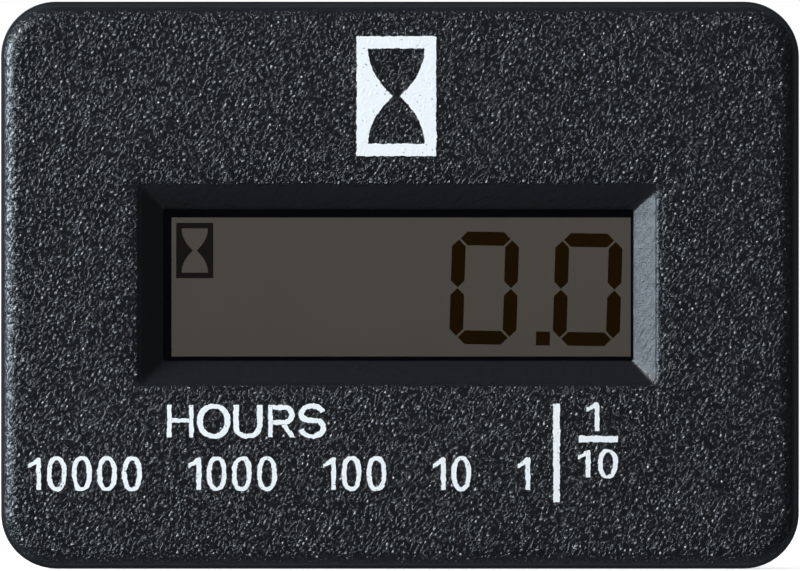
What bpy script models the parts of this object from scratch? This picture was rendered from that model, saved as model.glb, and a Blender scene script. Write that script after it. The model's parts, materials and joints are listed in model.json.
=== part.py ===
"""A panel-mounted liquid-crystal hour meter that counts while it feels vibration.

Metres, with +Z up. Someone who reads the display looks along +Y, with +X to their right.
The origin is the middle of the panel cut-out, on the plane where the gasket meets the panel.
Each piece is drawn as outlines in X and Z at depths along Y, and a depth grows to the rear.
"""

import math

import bmesh
import bpy
from mathutils import Matrix, Vector

# Clearances: between stacked layers, round a close fit, and round a loose one
LAYER_GAP = 0.00005
FIT_GAP = 0.0001
LOOSE_GAP = 0.0003

# Flange that shows in front of the panel
FLANGE_WIDTH = 0.0508
FLANGE_HEIGHT = 0.0361
FLANGE_THICKNESS = 0.0038
FLANGE_CORNER = 0.0035
FACE_EDGE_RADIUS = 0.0011
SIDE_DRAFT = 0.0002
RIM_WIDTH = 0.0012
RIM_CHAMFER = 0.0002
GASKET_PROUD = 0.0003
GASKET_THICKNESS = 0.0012

# Window in the face: a bevel all round, then a straight land
APERTURE_WIDTH = 0.02988
APERTURE_HEIGHT = 0.00964
APERTURE_CORNER = 0.0002
APERTURE_X = -0.00012
BEVEL_RUN = 0.00152
BEVEL_DEPTH = 0.0013
BEVEL_CORNER = 0.0005
BEVEL_EDGE_RADIUS = 0.0003
LAND_DEPTH = 0.0006

# Body that passes through the panel cut-out
BODY_WALL = 0.0016
CAVITY_CORNER = 0.0006
BOSS_RADIUS = 0.0014
BOSS_INSET = 0.0012
BOSS_STOP_SHORT = 0.0004
SHELF_WIDTH = 0.0022
SHELF_REACH = 0.00085
SHELF_SPACING = 0.016
LENS_RIB_LENGTH = 0.024
LENS_RIB_WIDTH = 0.0006

# Layers behind the window, front to back
LENS_SEAL_THICKNESS = 0.0002
LENS_SEAL_SETBACK = 0.0003
LENS_SEAL_WIDTH = 0.001
LENS_OVERLAP = 0.00148
LENS_THICKNESS = 0.0008
MASK_OVERLAP = 0.0008
MASK_THICKNESS = 0.00015
SIGHT_LESS_WIDTH = 0.00061
SIGHT_LESS_HEIGHT = 0.00075
SIGHT_X = 0.00005
SIGHT_Z = -0.0001
POLARISER_MARGIN = 0.0007
POLARISER_THICKNESS = 0.0002
GLASS_SIDE_MARGIN = 0.00136
GLASS_EDGE_MARGIN = 0.00066
GLASS_LEDGE = 0.0015
GLASS_THICKNESS = 0.0007
GLASS_CORNER = 0.0003
REFLECTOR_THICKNESS = 0.0002

# Seven-segment figures and the pictogram that the display shows
FIGURE_RELIEF = 0.00005
FIGURE_ROOT = 0.0002
FIGURE_MARGIN = 0.00086
FIGURE_WIDTH = 0.00412
FIGURE_PITCH = 0.00659
FIGURE_COUNT = 2
FIGURE_SLANT = math.radians(2.0)
FIGURE_TILT = math.radians(-0.95)
STROKE = 0.00086
STROKE_GAP = 0.0001
LAST_FIGURE_INSET = 0.00271
FIGURE_DROP = 0.00019
POINT_BACK = 0.00285
PICTOGRAM_WIDTH = 0.00239
PICTOGRAM_HEIGHT = 0.00357
PICTOGRAM_INSET = 0.00151
PICTOGRAM_DROP = 0.00214

# Hourglass shape, as shares of the plate it is cut from
HOURGLASS_WIDTH_SHARE = 0.7
HOURGLASS_HEIGHT_SHARE = 0.795
WAIST_SHARE = 0.07
BULB_POWER = 2.3
BULB_STEPS = 12

# White marks printed on the face
INK_THICKNESS = 0.00005
SYMBOL_WIDTH = 0.00506
SYMBOL_HEIGHT = 0.00761
SYMBOL_X = -0.00023
SYMBOL_TOP_MARGIN = 0.00222
RULE_LENGTH = 0.00637
RULE_WIDTH = 0.00047
RULE_X = 0.00997
RULE_BOTTOM_MARGIN = 0.00415
FRACTION_LINE_LENGTH = 0.0025
FRACTION_LINE_WIDTH = 0.00038
FRACTION_ASIDE = 0.00263
FRACTION_RISE = 0.00089

# Moulded holder for the glass and its contact strips
HOLDER_DEPTH = 0.004
HOLDER_SIDE_WALL = 0.0004
HOLDER_EDGE_WALL = 0.00035
HOLDER_WEB = 0.0009
HOLDER_RIM = 0.0022
STRIP_LENGTH_LESS = 0.0024
STRIP_WIDTH = 0.0013
PEG_RADIUS = 0.0005
PEG_PROUD = 0.0006
PEG_ROOT = 0.001

# Circuit board and what stands on it
BOARD_THICKNESS = 0.001
BOARD_CORNER = 0.0006
PART_GAP = 0.0003
CHIP_SIZE = 0.005
CHIP_THICKNESS = 0.0012
CHIP_STANDOFF = 0.0001
CHIP_EDGE = 0.0001
CHIP_LEADS_A_SIDE = 6
LEAD_PITCH = 0.0007
LEAD_WIDTH = 0.0003
LEAD_THICKNESS = 0.00015
LEAD_SPREAD = 0.0008
CRYSTAL_RADIUS = 0.001
CRYSTAL_LENGTH = 0.006
CRYSTAL_EDGE = 0.00015
CRYSTAL_SEAM = 0.00008
CRYSTAL_WIRE_ASIDE = 0.0004
CRYSTAL_ASIDE = 0.0016
CRYSTAL_DROP = 0.0055
SENSOR_RADIUS = 0.002
SENSOR_LENGTH = 0.0078
SENSOR_EDGE = 0.00024
SENSOR_GROOVE_INSET = 0.001
SENSOR_WALL_GAP = 0.0004
WIRE_RADIUS = 0.0002
WIRE_RUN = 0.0008
CAPACITOR_LENGTH = 0.0016
CAPACITOR_WIDTH = 0.0008
CAPACITOR_PITCH = 0.0018
CAPACITOR_ASIDE = 0.00159
CAPACITOR_COUNT = 3
RESISTOR_LENGTH = 0.0016
RESISTOR_WIDTH = 0.0008
RESISTOR_HEIGHT = 0.00045
RESISTOR_PITCH = 0.0016
RESISTOR_ASIDE = 0.0012
RESISTOR_DROP = 0.0009
RESISTOR_COUNT = 2

# Coin cell, its welded straps and its pad
CELL_RADIUS = 0.01
CELL_HEIGHT = 0.0032
CELL_CLEARANCE = 0.00025
CELL_SIDE_GAP = 0.0008
CELL_STANDOFF = 0.0005
CELL_CAP_RADIUS = 0.0089
CELL_CAP_HEIGHT = 0.0005
CELL_EDGE = 0.0003
STRAP_THICKNESS = 0.00015
POSITIVE_STRAP_WIDTH = 0.005
NEGATIVE_STRAP_WIDTH = 0.003
STRAP_FOOT = 0.0009
STRAP_ON_CELL = 0.0125
PAD_WIDTH = 0.013
PAD_HEIGHT = 0.011
PAD_THICKNESS = 0.0019

# Rear cover, its seal and screws
SEAL_THICKNESS = 0.0005
SEAL_INSET = 0.0002
COVER_THICKNESS = 0.0016
COVER_CHAMFER = 0.0004
LIP_WALL = 0.0008
LIP_DEPTH = 0.001
SCREW_RADIUS = 0.00075
SCREW_LENGTH = 0.0064
SCREW_TIP_RADIUS = 0.00025
SCREW_TIP_LENGTH = 0.0011
SCREW_HEAD_RADIUS = 0.00145
SCREW_HEAD_HEIGHT = 0.0009
SCREW_DOME_SHARES = ((1.0, 0.55), (0.8, 0.9), (0.4, 1.0))
SCREW_CROSS_LENGTH = 0.0017
SCREW_CROSS_WIDTH = 0.0004
SCREW_CROSS_DEPTH = 0.0005

# Studs held in the cover, and the strap bracket that they pull on
STUD_RADIUS = 0.00145
STUD_SPACING = 0.02
STUD_PROUD = 0.0055
STUD_CHAMFER = 0.0004
STUD_HEAD_ACROSS = 0.005
STUD_HEAD_HEIGHT = 0.0008
STUD_BOSS_WALL = 0.0006
STUD_BOSS_HEIGHT = 0.0012
BRACKET_THICKNESS = 0.001
BRACKET_WIDTH = 0.012
BRACKET_LEG_GAP = 0.0008
BRACKET_FOOT_LENGTH = 0.004
BRACKET_BEND = 0.0012
PANEL_THICKNESS = 0.0025
WASHER_RADIUS = 0.0028
WASHER_THICKNESS = 0.0007
WASHER_SPLIT = math.radians(14)
NUT_ACROSS = 0.0055
NUT_THICKNESS = 0.0024
NUT_CHAMFER = 0.0003

# How finely round forms are cut, and how far a cutter runs past what it cuts
CORNER_STEPS = 6
EDGE_STEPS = 6
CELL_STEPS = 48
HEX_STEPS = 36
ROUND_STEPS = 24
BORE_STEPS = 20
WIRE_STEPS = 8
CUT_PAST = 0.0005
SHARP_ANGLE = math.radians(35)

# Display sizes, worked outwards from the window
SIGHT_WIDTH = APERTURE_WIDTH - SIGHT_LESS_WIDTH
SIGHT_HEIGHT = APERTURE_HEIGHT - SIGHT_LESS_HEIGHT
GLASS_WIDTH = SIGHT_WIDTH + 2 * GLASS_SIDE_MARGIN
REAR_GLASS_HEIGHT = SIGHT_HEIGHT + 2 * GLASS_EDGE_MARGIN
FRONT_GLASS_HEIGHT = REAR_GLASS_HEIGHT + 2 * GLASS_LEDGE
HOLDER_HEIGHT = FRONT_GLASS_HEIGHT + 2 * (FIT_GAP + HOLDER_EDGE_WALL)
LENS_HEIGHT = APERTURE_HEIGHT + 2 * LENS_OVERLAP

# The cavity has room for the display and for the row of sensor, chip and cell
CHIP_REACH = CHIP_SIZE / 2 + LEAD_SPREAD - LEAD_THICKNESS
DISPLAY_ROOM = GLASS_WIDTH + 2 * (HOLDER_SIDE_WALL + 2 * FIT_GAP)
PARTS_ROOM = (
    SENSOR_WALL_GAP + 2 * (SENSOR_RADIUS + CHIP_REACH + PART_GAP + CELL_RADIUS) + CELL_SIDE_GAP
)
CAVITY_WIDTH = max(DISPLAY_ROOM, PARTS_ROOM)
CELL_ROOM = 2 * (CELL_RADIUS + CELL_CLEARANCE)
HOLDER_ROOM = HOLDER_HEIGHT + 2 * (LOOSE_GAP + BOSS_INSET + BOSS_RADIUS)
CAVITY_HEIGHT = max(CELL_ROOM, HOLDER_ROOM)
BODY_WIDTH = CAVITY_WIDTH + 2 * BODY_WALL
BODY_HEIGHT = CAVITY_HEIGHT + 2 * BODY_WALL
BODY_CORNER = CAVITY_CORNER + BODY_WALL
HOLDER_WIDTH = CAVITY_WIDTH - 2 * FIT_GAP
BOARD_WIDTH = CAVITY_WIDTH - 4 * FIT_GAP
BOARD_HEIGHT = CAVITY_HEIGHT - 4 * FIT_GAP

# Depths, front to back
RIM_Y = -GASKET_PROUD
FACE_Y = RIM_Y - FLANGE_THICKNESS
RECESS_Y = -GASKET_THICKNESS - LAYER_GAP
INNER_FACE_Y = FACE_Y + BEVEL_DEPTH + LAND_DEPTH
LENS_SEAL_Y = INNER_FACE_Y + LAYER_GAP
LENS_Y = LENS_SEAL_Y + LENS_SEAL_THICKNESS + LAYER_GAP
MASK_Y = LENS_Y + LENS_THICKNESS + LAYER_GAP
POLARISER_Y = MASK_Y + MASK_THICKNESS + LAYER_GAP
FRONT_GLASS_Y = POLARISER_Y + POLARISER_THICKNESS + LAYER_GAP
STRIP_Y = FRONT_GLASS_Y + GLASS_THICKNESS + LAYER_GAP
FIGURE_Y = STRIP_Y
REAR_GLASS_Y = FIGURE_Y + FIGURE_RELIEF
REFLECTOR_Y = REAR_GLASS_Y + GLASS_THICKNESS + LAYER_GAP
HOLDER_WEB_Y = REFLECTOR_Y + REFLECTOR_THICKNESS + LAYER_GAP
BOARD_Y = FRONT_GLASS_Y + HOLDER_DEPTH + LAYER_GAP
BOARD_BACK_Y = BOARD_Y + BOARD_THICKNESS
CELL_Y = BOARD_BACK_Y + CELL_STANDOFF
PAD_Y = CELL_Y + CELL_HEIGHT + STRAP_THICKNESS + 2 * LAYER_GAP
COVER_Y = PAD_Y + PAD_THICKNESS + LAYER_GAP
COVER_BACK_Y = COVER_Y + COVER_THICKNESS
BODY_END_Y = COVER_Y - SEAL_THICKNESS - 2 * LAYER_GAP
SCREW_SEAT_Y = COVER_BACK_Y - SCREW_HEAD_HEIGHT
BRACKET_WEB_Y = COVER_BACK_Y + STUD_BOSS_HEIGHT + LAYER_GAP
WASHER_Y = BRACKET_WEB_Y + BRACKET_THICKNESS + LAYER_GAP
NUT_Y = WASHER_Y + WASHER_THICKNESS + LAYER_GAP
STUD_END_Y = BRACKET_WEB_Y + BRACKET_THICKNESS + STUD_PROUD

# Places across the body
SIDES = (-1, 1)
BOSS_X = CAVITY_WIDTH / 2 - BOSS_INSET
BOSS_Z = CAVITY_HEIGHT / 2 - BOSS_INSET
BOSS_PLACES = [(sx * BOSS_X, sz * BOSS_Z) for sx in SIDES for sz in SIDES]
STRIP_LENGTH = GLASS_WIDTH - STRIP_LENGTH_LESS
STRIP_Z = REAR_GLASS_HEIGHT / 2 + FIT_GAP + STRIP_WIDTH / 2
PEG_X = STRIP_LENGTH / 2 + 2 * FIT_GAP + PEG_RADIUS
PEG_PLACES = [(sx * PEG_X, sz * STRIP_Z) for sx in SIDES for sz in SIDES]
STUD_PLACES = [side * STUD_SPACING / 2 for side in SIDES]
SENSOR_X = SENSOR_WALL_GAP + SENSOR_RADIUS - CAVITY_WIDTH / 2
CELL_X = CAVITY_WIDTH / 2 - CELL_SIDE_GAP - CELL_RADIUS
CHIP_X = SENSOR_X + SENSOR_RADIUS + PART_GAP + CHIP_REACH
CHIP_Z = NEGATIVE_STRAP_WIDTH / 2 + PART_GAP + CHIP_REACH
CRYSTAL_X = SENSOR_X + SENSOR_RADIUS + CRYSTAL_ASIDE + CRYSTAL_RADIUS
CAPACITOR_X = CELL_X - CELL_RADIUS - CAPACITOR_ASIDE - CAPACITOR_LENGTH / 2
CAPACITOR_Z = -(NEGATIVE_STRAP_WIDTH + CAPACITOR_WIDTH) / 2 - PART_GAP
SENSOR_REACH = SENSOR_LENGTH / 2 + WIRE_RUN + WIRE_RADIUS
RESISTOR_X = PEG_RADIUS + RESISTOR_ASIDE + RESISTOR_LENGTH / 2 - PEG_X
RESISTOR_Z = -SENSOR_REACH - RESISTOR_DROP - RESISTOR_WIDTH / 2

# Colour, roughness and metallic value of each finish
FINISHES = {
    "case_plastic": ((0.016, 0.018, 0.021), 0.42, 0.0),
    "black_rubber": ((0.02, 0.02, 0.021), 0.75, 0.0),
    "clear_lens": ((0.85, 0.87, 0.88), 0.05, 0.0),
    "mask_black": ((0.004, 0.004, 0.005), 0.5, 0.0),
    "polariser": ((0.3, 0.29, 0.27), 0.3, 0.0),
    "display_glass": ((0.75, 0.8, 0.78), 0.04, 0.0),
    "display_figure": ((0.009, 0.006, 0.002), 0.5, 0.0),
    "display_reflector": ((0.057, 0.052, 0.046), 0.6, 0.0),
    "holder_plastic": ((0.03, 0.03, 0.032), 0.5, 0.0),
    "contact_rubber": ((0.16, 0.16, 0.17), 0.6, 0.0),
    "board_green": ((0.02, 0.16, 0.06), 0.45, 0.0),
    "chip_epoxy": ((0.025, 0.025, 0.027), 0.55, 0.0),
    "tinned_metal": ((0.66, 0.66, 0.67), 0.28, 1.0),
    "sensor_shell": ((0.07, 0.07, 0.08), 0.4, 0.0),
    "capacitor_tan": ((0.45, 0.31, 0.17), 0.5, 0.0),
    "resistor_black": ((0.03, 0.03, 0.035), 0.35, 0.0),
    "cell_steel": ((0.72, 0.72, 0.71), 0.25, 1.0),
    "pad_foam": ((0.09, 0.09, 0.1), 0.9, 0.0),
    "zinc_steel": ((0.62, 0.63, 0.64), 0.35, 1.0),
    "white_ink": ((0.82, 0.86, 0.88), 0.6, 0.0),
}
SEE_THROUGH = ("clear_lens", "polariser", "display_glass")


def clear_scene():
    """Removes whatever the scene holds."""
    for old in list(bpy.data.objects):
        bpy.data.objects.remove(old, do_unlink=True)


def finish(name):
    """The Blender material for one of the finishes."""
    found = bpy.data.materials.get(name)
    if found:
        return found
    colour, roughness, metallic = FINISHES[name]
    made = bpy.data.materials.new(name)
    made.use_nodes = True
    shader = made.node_tree.nodes["Principled BSDF"]
    shader.inputs["Base Color"].default_value = (*colour, 1.0)
    shader.inputs["Roughness"].default_value = roughness
    shader.inputs["Metallic"].default_value = metallic
    shader.inputs["Transmission Weight"].default_value = float(name in SEE_THROUGH)
    return made


def new_object(name, shape, finish_name, location=(0, 0, 0)):
    """Turns a bmesh into a named object with its finish, and frees the bmesh."""
    bmesh.ops.recalc_face_normals(shape, faces=shape.faces)
    mesh = bpy.data.meshes.new(name)
    shape.to_mesh(mesh)
    shape.free()
    made = bpy.data.objects.new(name, mesh)
    made.location = location
    if finish_name:
        mesh.materials.append(finish(finish_name))
    bpy.context.scene.collection.objects.link(made)
    return made


def helper(name, shape, location=(0, 0, 0), finish_name=None):
    """An object that only cuts or joins another."""
    made = new_object(name, shape, finish_name, location)
    made.hide_render = True
    made.display_type = "WIRE"
    return made


def combine(target, tool, operation):
    """Adds a Boolean that uses the helper on the target. A helper with a finish passes it on."""
    boolean = target.modifiers.new(f"{operation.lower()}_{tool.name}", "BOOLEAN")
    boolean.operation = operation
    boolean.object = tool
    if tool.data.materials:
        boolean.material_mode = "TRANSFER"


def smooth(made):
    """Shades round forms smooth and keeps their real edges sharp."""
    made.data.shade_smooth()
    made.data.set_sharp_from_angle(angle=SHARP_ANGLE)


def rounded_rectangle(width, height, radius, centre_x=0.0):
    """Points (x, z) round a rectangle whose corners are arcs."""
    points = []
    for quarter, (sx, sz) in enumerate(((1, 1), (-1, 1), (-1, -1), (1, -1))):
        middle = Vector((centre_x + sx * (width / 2 - radius), sz * (height / 2 - radius)))
        for step in range(CORNER_STEPS + 1):
            angle = math.pi / 2 * (quarter + step / CORNER_STEPS)
            points.append(middle + radius * Vector((math.cos(angle), math.sin(angle))))
    return points


def turned_outline(radius, steps=ROUND_STEPS):
    """Points (x, z) round a circle, or round any outline whose radius depends on the angle."""
    points = []
    for step in range(steps):
        angle = 2 * math.pi * step / steps
        reach = radius(angle) if callable(radius) else radius
        points.append((reach * math.cos(angle), reach * math.sin(angle)))
    return points


def hexagon(across):
    """The radius of a hexagon, from its size across flats, as a function of the angle."""
    sixth = math.pi / 3
    return lambda angle: across / 2 / math.cos((angle + sixth / 2) % sixth - sixth / 2)


def ring_of(shape, outline, y, centre=(0, 0)):
    """Vertices of one outline, given as (x, z) points, at depth y."""
    return [shape.verts.new((p[0] + centre[0], y, p[1] + centre[1])) for p in outline]


def bridge(shape, first, second):
    """Joins two rings of the same number of vertices with a band of faces."""
    for here in range(len(first)):
        there = (here + 1) % len(first)
        shape.faces.new((first[here], first[there], second[there], second[here]))


def add_frame(shape, outlines, centre=(0, 0)):
    """A closed frame whose section passes through outlines, given as (points, depth)."""
    rings = [ring_of(shape, points, y, centre) for points, y in outlines]
    for here, ring in enumerate(rings):
        bridge(shape, ring, rings[(here + 1) % len(rings)])


def add_loft(shape, outlines, centre=(0, 0)):
    """A closed solid through outlines, given as (points, depth), with flat ends."""
    rings = [ring_of(shape, points, y, centre) for points, y in outlines]
    for ring, following in zip(rings, rings[1:]):
        bridge(shape, ring, following)
    shape.faces.new(rings[0])
    shape.faces.new(rings[-1])


def add_prism(shape, outline, start, end, centre=(0, 0)):
    """An outline carried straight from one depth to another."""
    add_loft(shape, [(outline, start), (outline, end)], centre)


def add_turned(shape, profile, centre=(0, 0), steps=ROUND_STEPS):
    """A solid turned about the Y axis from (radius, depth) points, both ends flat."""
    add_loft(shape, [(turned_outline(radius, steps), y) for radius, y in profile], centre)


def add_rod(shape, radius, start, end, centre=(0, 0), steps=BORE_STEPS):
    """A plain cylinder along Y."""
    add_turned(shape, [(radius, start), (radius, end)], centre, steps)


def add_block(shape, first, second):
    """A box between two opposite corners, given in either order."""
    first, second = Vector(first), Vector(second)
    size = Vector(abs(along) for along in second - first)
    place = Matrix.Translation((first + second) / 2) @ Matrix.Diagonal((*size, 1))
    bmesh.ops.create_cube(shape, size=1.0, matrix=place)


def turn_upright(shape):
    """Turns what was built along +Y so that it runs along Z."""
    quarter = Matrix.Rotation(math.pi / 2, 4, "X")
    bmesh.ops.transform(shape, matrix=quarter, verts=shape.verts)


def add_wire(shape, points):
    """A round wire through points in one plane of constant X, mitred at its bends."""
    path = [Vector(p) for p in points]
    runs = [(end - start).normalized() for start, end in zip(path, path[1:])]
    across = Vector((1, 0, 0))
    rings = []
    for here, point in enumerate(path):
        before = runs[max(here - 1, 0)]
        after = runs[min(here, len(runs) - 1)]
        tangent = (before + after).normalized()
        up = across.cross(tangent) / tangent.dot(before)
        turns = turned_outline(WIRE_RADIUS, WIRE_STEPS)
        rings.append([shape.verts.new(point + a * across + b * up) for a, b in turns])
    for ring, following in zip(rings, rings[1:]):
        bridge(shape, ring, following)
    shape.faces.new(rings[0])
    shape.faces.new(rings[-1])


def rounded_path(path, bend):
    """Points along a path in X and Y whose corners are arcs of one radius."""
    path = [Vector(p) for p in path]
    line = [path[0]]
    for before, corner, after in zip(path, path[1:], path[2:]):
        inward = (before - corner).normalized()
        onward = (after - corner).normalized()
        half = inward.angle(onward) / 2
        centre = corner + (inward + onward).normalized() * (bend / math.sin(half))
        spoke = corner + inward * (bend / math.tan(half)) - centre
        last = corner + onward * (bend / math.tan(half)) - centre
        sweep = -spoke.angle_signed(last)
        for step in range(EDGE_STEPS + 1):
            turned = spoke.copy()
            turned.rotate(Matrix.Rotation(sweep * step / EDGE_STEPS, 2))
            line.append(centre + turned)
    line.append(path[-1])
    return line


def thickened(line, thickness):
    """The outline of a strip of one thickness that follows a line in X and Y."""
    sides = ([], [])
    for here, point in enumerate(line):
        along = line[min(here + 1, len(line) - 1)] - line[max(here - 1, 0)]
        normal = Vector((-along.y, along.x)).normalized() * thickness / 2
        sides[0].append(point + normal)
        sides[1].append(point - normal)
    return sides[0] + sides[1][::-1]


def add_strip(shape, outline, width, turn=Matrix.Identity(3), middle=0.0):
    """A strip drawn in X and Y, of a width along Z about a middle, and then turned."""
    ends = []
    for z in (middle - width / 2, middle + width / 2):
        ends.append([shape.verts.new(turn @ Vector((x, y, z))) for x, y in outline])
    bridge(shape, *ends)
    shape.faces.new(ends[0])
    shape.faces.new(ends[1])


def window_outlines():
    """The case's section from behind the window, over the bevel, to the flat of the face."""
    land = rounded_rectangle(APERTURE_WIDTH, APERTURE_HEIGHT, APERTURE_CORNER, APERTURE_X)
    outlines = [(land, INNER_FACE_Y), (land, FACE_Y + BEVEL_DEPTH)]
    slope = math.atan2(BEVEL_DEPTH, BEVEL_RUN)
    run_out = BEVEL_EDGE_RADIUS * math.tan(slope / 2)
    steps = EDGE_STEPS // 2
    for step in range(steps + 1):
        tilt = slope * (1 - step / steps)
        out = BEVEL_RUN + run_out - BEVEL_EDGE_RADIUS * math.sin(tilt)
        width, height = APERTURE_WIDTH + 2 * out, APERTURE_HEIGHT + 2 * out
        depth = BEVEL_EDGE_RADIUS * (1 - math.cos(tilt))
        outline = rounded_rectangle(width, height, BEVEL_CORNER, APERTURE_X)
        outlines.append((outline, FACE_Y + depth))
    return outlines


def flange_outlines():
    """The case's section round the face's edge and down the flange to the gasket's recess."""
    insets = []
    for step in range(EDGE_STEPS + 1):
        tilt = math.pi / 2 * step / EDGE_STEPS
        inset = SIDE_DRAFT + FACE_EDGE_RADIUS * (1 - math.sin(tilt))
        insets.append((inset, FACE_Y + FACE_EDGE_RADIUS * (1 - math.cos(tilt))))
    insets += [(0.0, RIM_Y - RIM_CHAMFER), (RIM_CHAMFER, RIM_Y)]
    insets += [(RIM_WIDTH, RIM_Y), (RIM_WIDTH, RECESS_Y)]
    outlines = []
    for inset, y in insets:
        width, height = FLANGE_WIDTH - 2 * inset, FLANGE_HEIGHT - 2 * inset
        outlines.append((rounded_rectangle(width, height, FLANGE_CORNER - inset), y))
    return outlines


def body_outlines():
    """The case's section along the body's outside and home through its cavity."""
    outside = rounded_rectangle(BODY_WIDTH, BODY_HEIGHT, BODY_CORNER)
    inside = rounded_rectangle(CAVITY_WIDTH, CAVITY_HEIGHT, CAVITY_CORNER)
    return [(outside, RECESS_Y), (outside, BODY_END_Y), (inside, BODY_END_Y), (inside, INNER_FACE_Y)]


def case_inside():
    """Screw bosses, shelves for the board, and ribs beside the lens."""
    shape = bmesh.new()
    buried = INNER_FACE_Y - LAND_DEPTH / 2
    for place in BOSS_PLACES:
        add_rod(shape, BOSS_RADIUS, buried, BODY_END_Y - BOSS_STOP_SHORT, place)
    wall = CAVITY_HEIGHT / 2 + BODY_WALL / 3
    shelf = CAVITY_HEIGHT / 2 - SHELF_REACH
    rib = LENS_HEIGHT / 2 + FIT_GAP
    for side in SIDES:
        for low_x in (-(SHELF_SPACING + SHELF_WIDTH) / 2, (SHELF_SPACING - SHELF_WIDTH) / 2):
            high = (low_x + SHELF_WIDTH, BOARD_Y - LAYER_GAP, side * shelf)
            add_block(shape, (low_x, buried, side * wall), high)
        high = (LENS_RIB_LENGTH / 2, FRONT_GLASS_Y - LAYER_GAP, side * (rib + LENS_RIB_WIDTH))
        add_block(shape, (-LENS_RIB_LENGTH / 2, buried, side * rib), high)
    return helper("case_inside", shape)


def screw_pilots():
    """Blind holes in the bosses for the cover's screws."""
    shape = bmesh.new()
    bottom = SCREW_SEAT_Y - SCREW_LENGTH - LOOSE_GAP
    for place in BOSS_PLACES:
        add_rod(shape, SCREW_RADIUS + FIT_GAP, bottom, BODY_END_Y + CUT_PAST, place)
    return helper("screw_pilots", shape)


def front_case():
    """The face, flange and body in one moulding, with what stands inside it."""
    shape = bmesh.new()
    add_frame(shape, window_outlines() + flange_outlines() + body_outlines())
    case = new_object("front_case", shape, "case_plastic")
    combine(case, case_inside(), "UNION")
    combine(case, screw_pilots(), "DIFFERENCE")
    smooth(case)
    return case


def flat_frame(name, finish_name, outer, inner, thickness, location):
    """A flat frame between two rounded rectangles, each (width, height, radius, centre x)."""
    shape = bmesh.new()
    outside, inside = rounded_rectangle(*outer), rounded_rectangle(*inner)
    add_frame(shape, [(outside, 0.0), (outside, thickness), (inside, thickness), (inside, 0.0)])
    return new_object(name, shape, finish_name, location)


def panel_gasket():
    """Rubber frame that seals the flange to the panel."""
    inset = RIM_WIDTH + FIT_GAP
    outer = (FLANGE_WIDTH - 2 * inset, FLANGE_HEIGHT - 2 * inset, FLANGE_CORNER - inset)
    inner = (BODY_WIDTH + 2 * FIT_GAP, BODY_HEIGHT + 2 * FIT_GAP, BODY_CORNER + FIT_GAP)
    place = (0, -GASKET_THICKNESS, 0)
    return flat_frame("panel_gasket", "black_rubber", outer, inner, GASKET_THICKNESS, place)


def hourglass_outlines(width, height):
    """The outline of a plate, and of the hourglass cut in it, with the same number of points."""
    glass_width = width * HOURGLASS_WIDTH_SHARE
    glass_height = height * HOURGLASS_HEIGHT_SHARE
    waist = width * WAIST_SHARE
    half = []
    for step in range(-BULB_STEPS, BULB_STEPS + 1):
        narrowing = (1 - abs(step) / BULB_STEPS) ** BULB_POWER
        reach = waist / 2 + (glass_width - waist) / 2 * (1 - narrowing)
        half.append((reach, -glass_height / 2 * step / BULB_STEPS))
    glass = half + [(-x, z) for x, z in reversed(half)]
    stretch = height / glass_height
    plate = [(math.copysign(width / 2, x), z * stretch) for x, z in glass]
    return plate, glass


def add_hourglass_plate(shape, width, height, thickness, centre=(0, 0)):
    """A plate with an hourglass cut out of it."""
    plate, glass = hourglass_outlines(width, height)
    outlines = [(plate, 0.0), (plate, thickness), (glass, thickness), (glass, 0.0)]
    add_frame(shape, outlines, centre)


def printed_marks():
    """White ink on the face: the hourglass sign, an upright rule and a fraction's line."""
    y = FACE_Y - INK_THICKNESS - LAYER_GAP
    symbol_z = (FLANGE_HEIGHT - SYMBOL_HEIGHT) / 2 - SYMBOL_TOP_MARGIN
    rule_z = (RULE_LENGTH - FLANGE_HEIGHT) / 2 + RULE_BOTTOM_MARGIN
    shape = bmesh.new()
    add_hourglass_plate(shape, SYMBOL_WIDTH, SYMBOL_HEIGHT, INK_THICKNESS)
    marks = [new_object("printed_symbol", shape, "white_ink", (SYMBOL_X, y, symbol_z))]
    fraction = (RULE_X + FRACTION_ASIDE, y, rule_z + FRACTION_RISE)
    for name, place, width, height in (
        ("printed_rule", (RULE_X, y, rule_z), RULE_WIDTH, RULE_LENGTH),
        ("printed_fraction_line", fraction, FRACTION_LINE_LENGTH, FRACTION_LINE_WIDTH),
    ):
        shape = bmesh.new()
        add_block(shape, (-width / 2, 0, -height / 2), (width / 2, INK_THICKNESS, height / 2))
        marks.append(new_object(name, shape, "white_ink", place))
    return marks


def flat_plate(name, finish_name, width, height, thickness, y):
    """A thin rectangular layer behind the window."""
    shape = bmesh.new()
    add_prism(shape, rounded_rectangle(width, height, GLASS_CORNER), 0.0, thickness)
    return new_object(name, shape, finish_name, (0, y, 0))


def lens_and_seal():
    """The clear window and the thin adhesive ring that seals it to the case."""
    width = APERTURE_WIDTH + 2 * LENS_SEAL_SETBACK
    height = APERTURE_HEIGHT + 2 * LENS_SEAL_SETBACK
    inner = (width, height, APERTURE_CORNER)
    outer = (width + 2 * LENS_SEAL_WIDTH, height + 2 * LENS_SEAL_WIDTH, APERTURE_CORNER)
    place = (APERTURE_X, LENS_SEAL_Y, 0)
    return [
        flat_frame("lens_seal", "black_rubber", outer, inner, LENS_SEAL_THICKNESS, place),
        flat_plate("window_lens", "clear_lens", HOLDER_WIDTH, LENS_HEIGHT, LENS_THICKNESS, LENS_Y),
    ]


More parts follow.
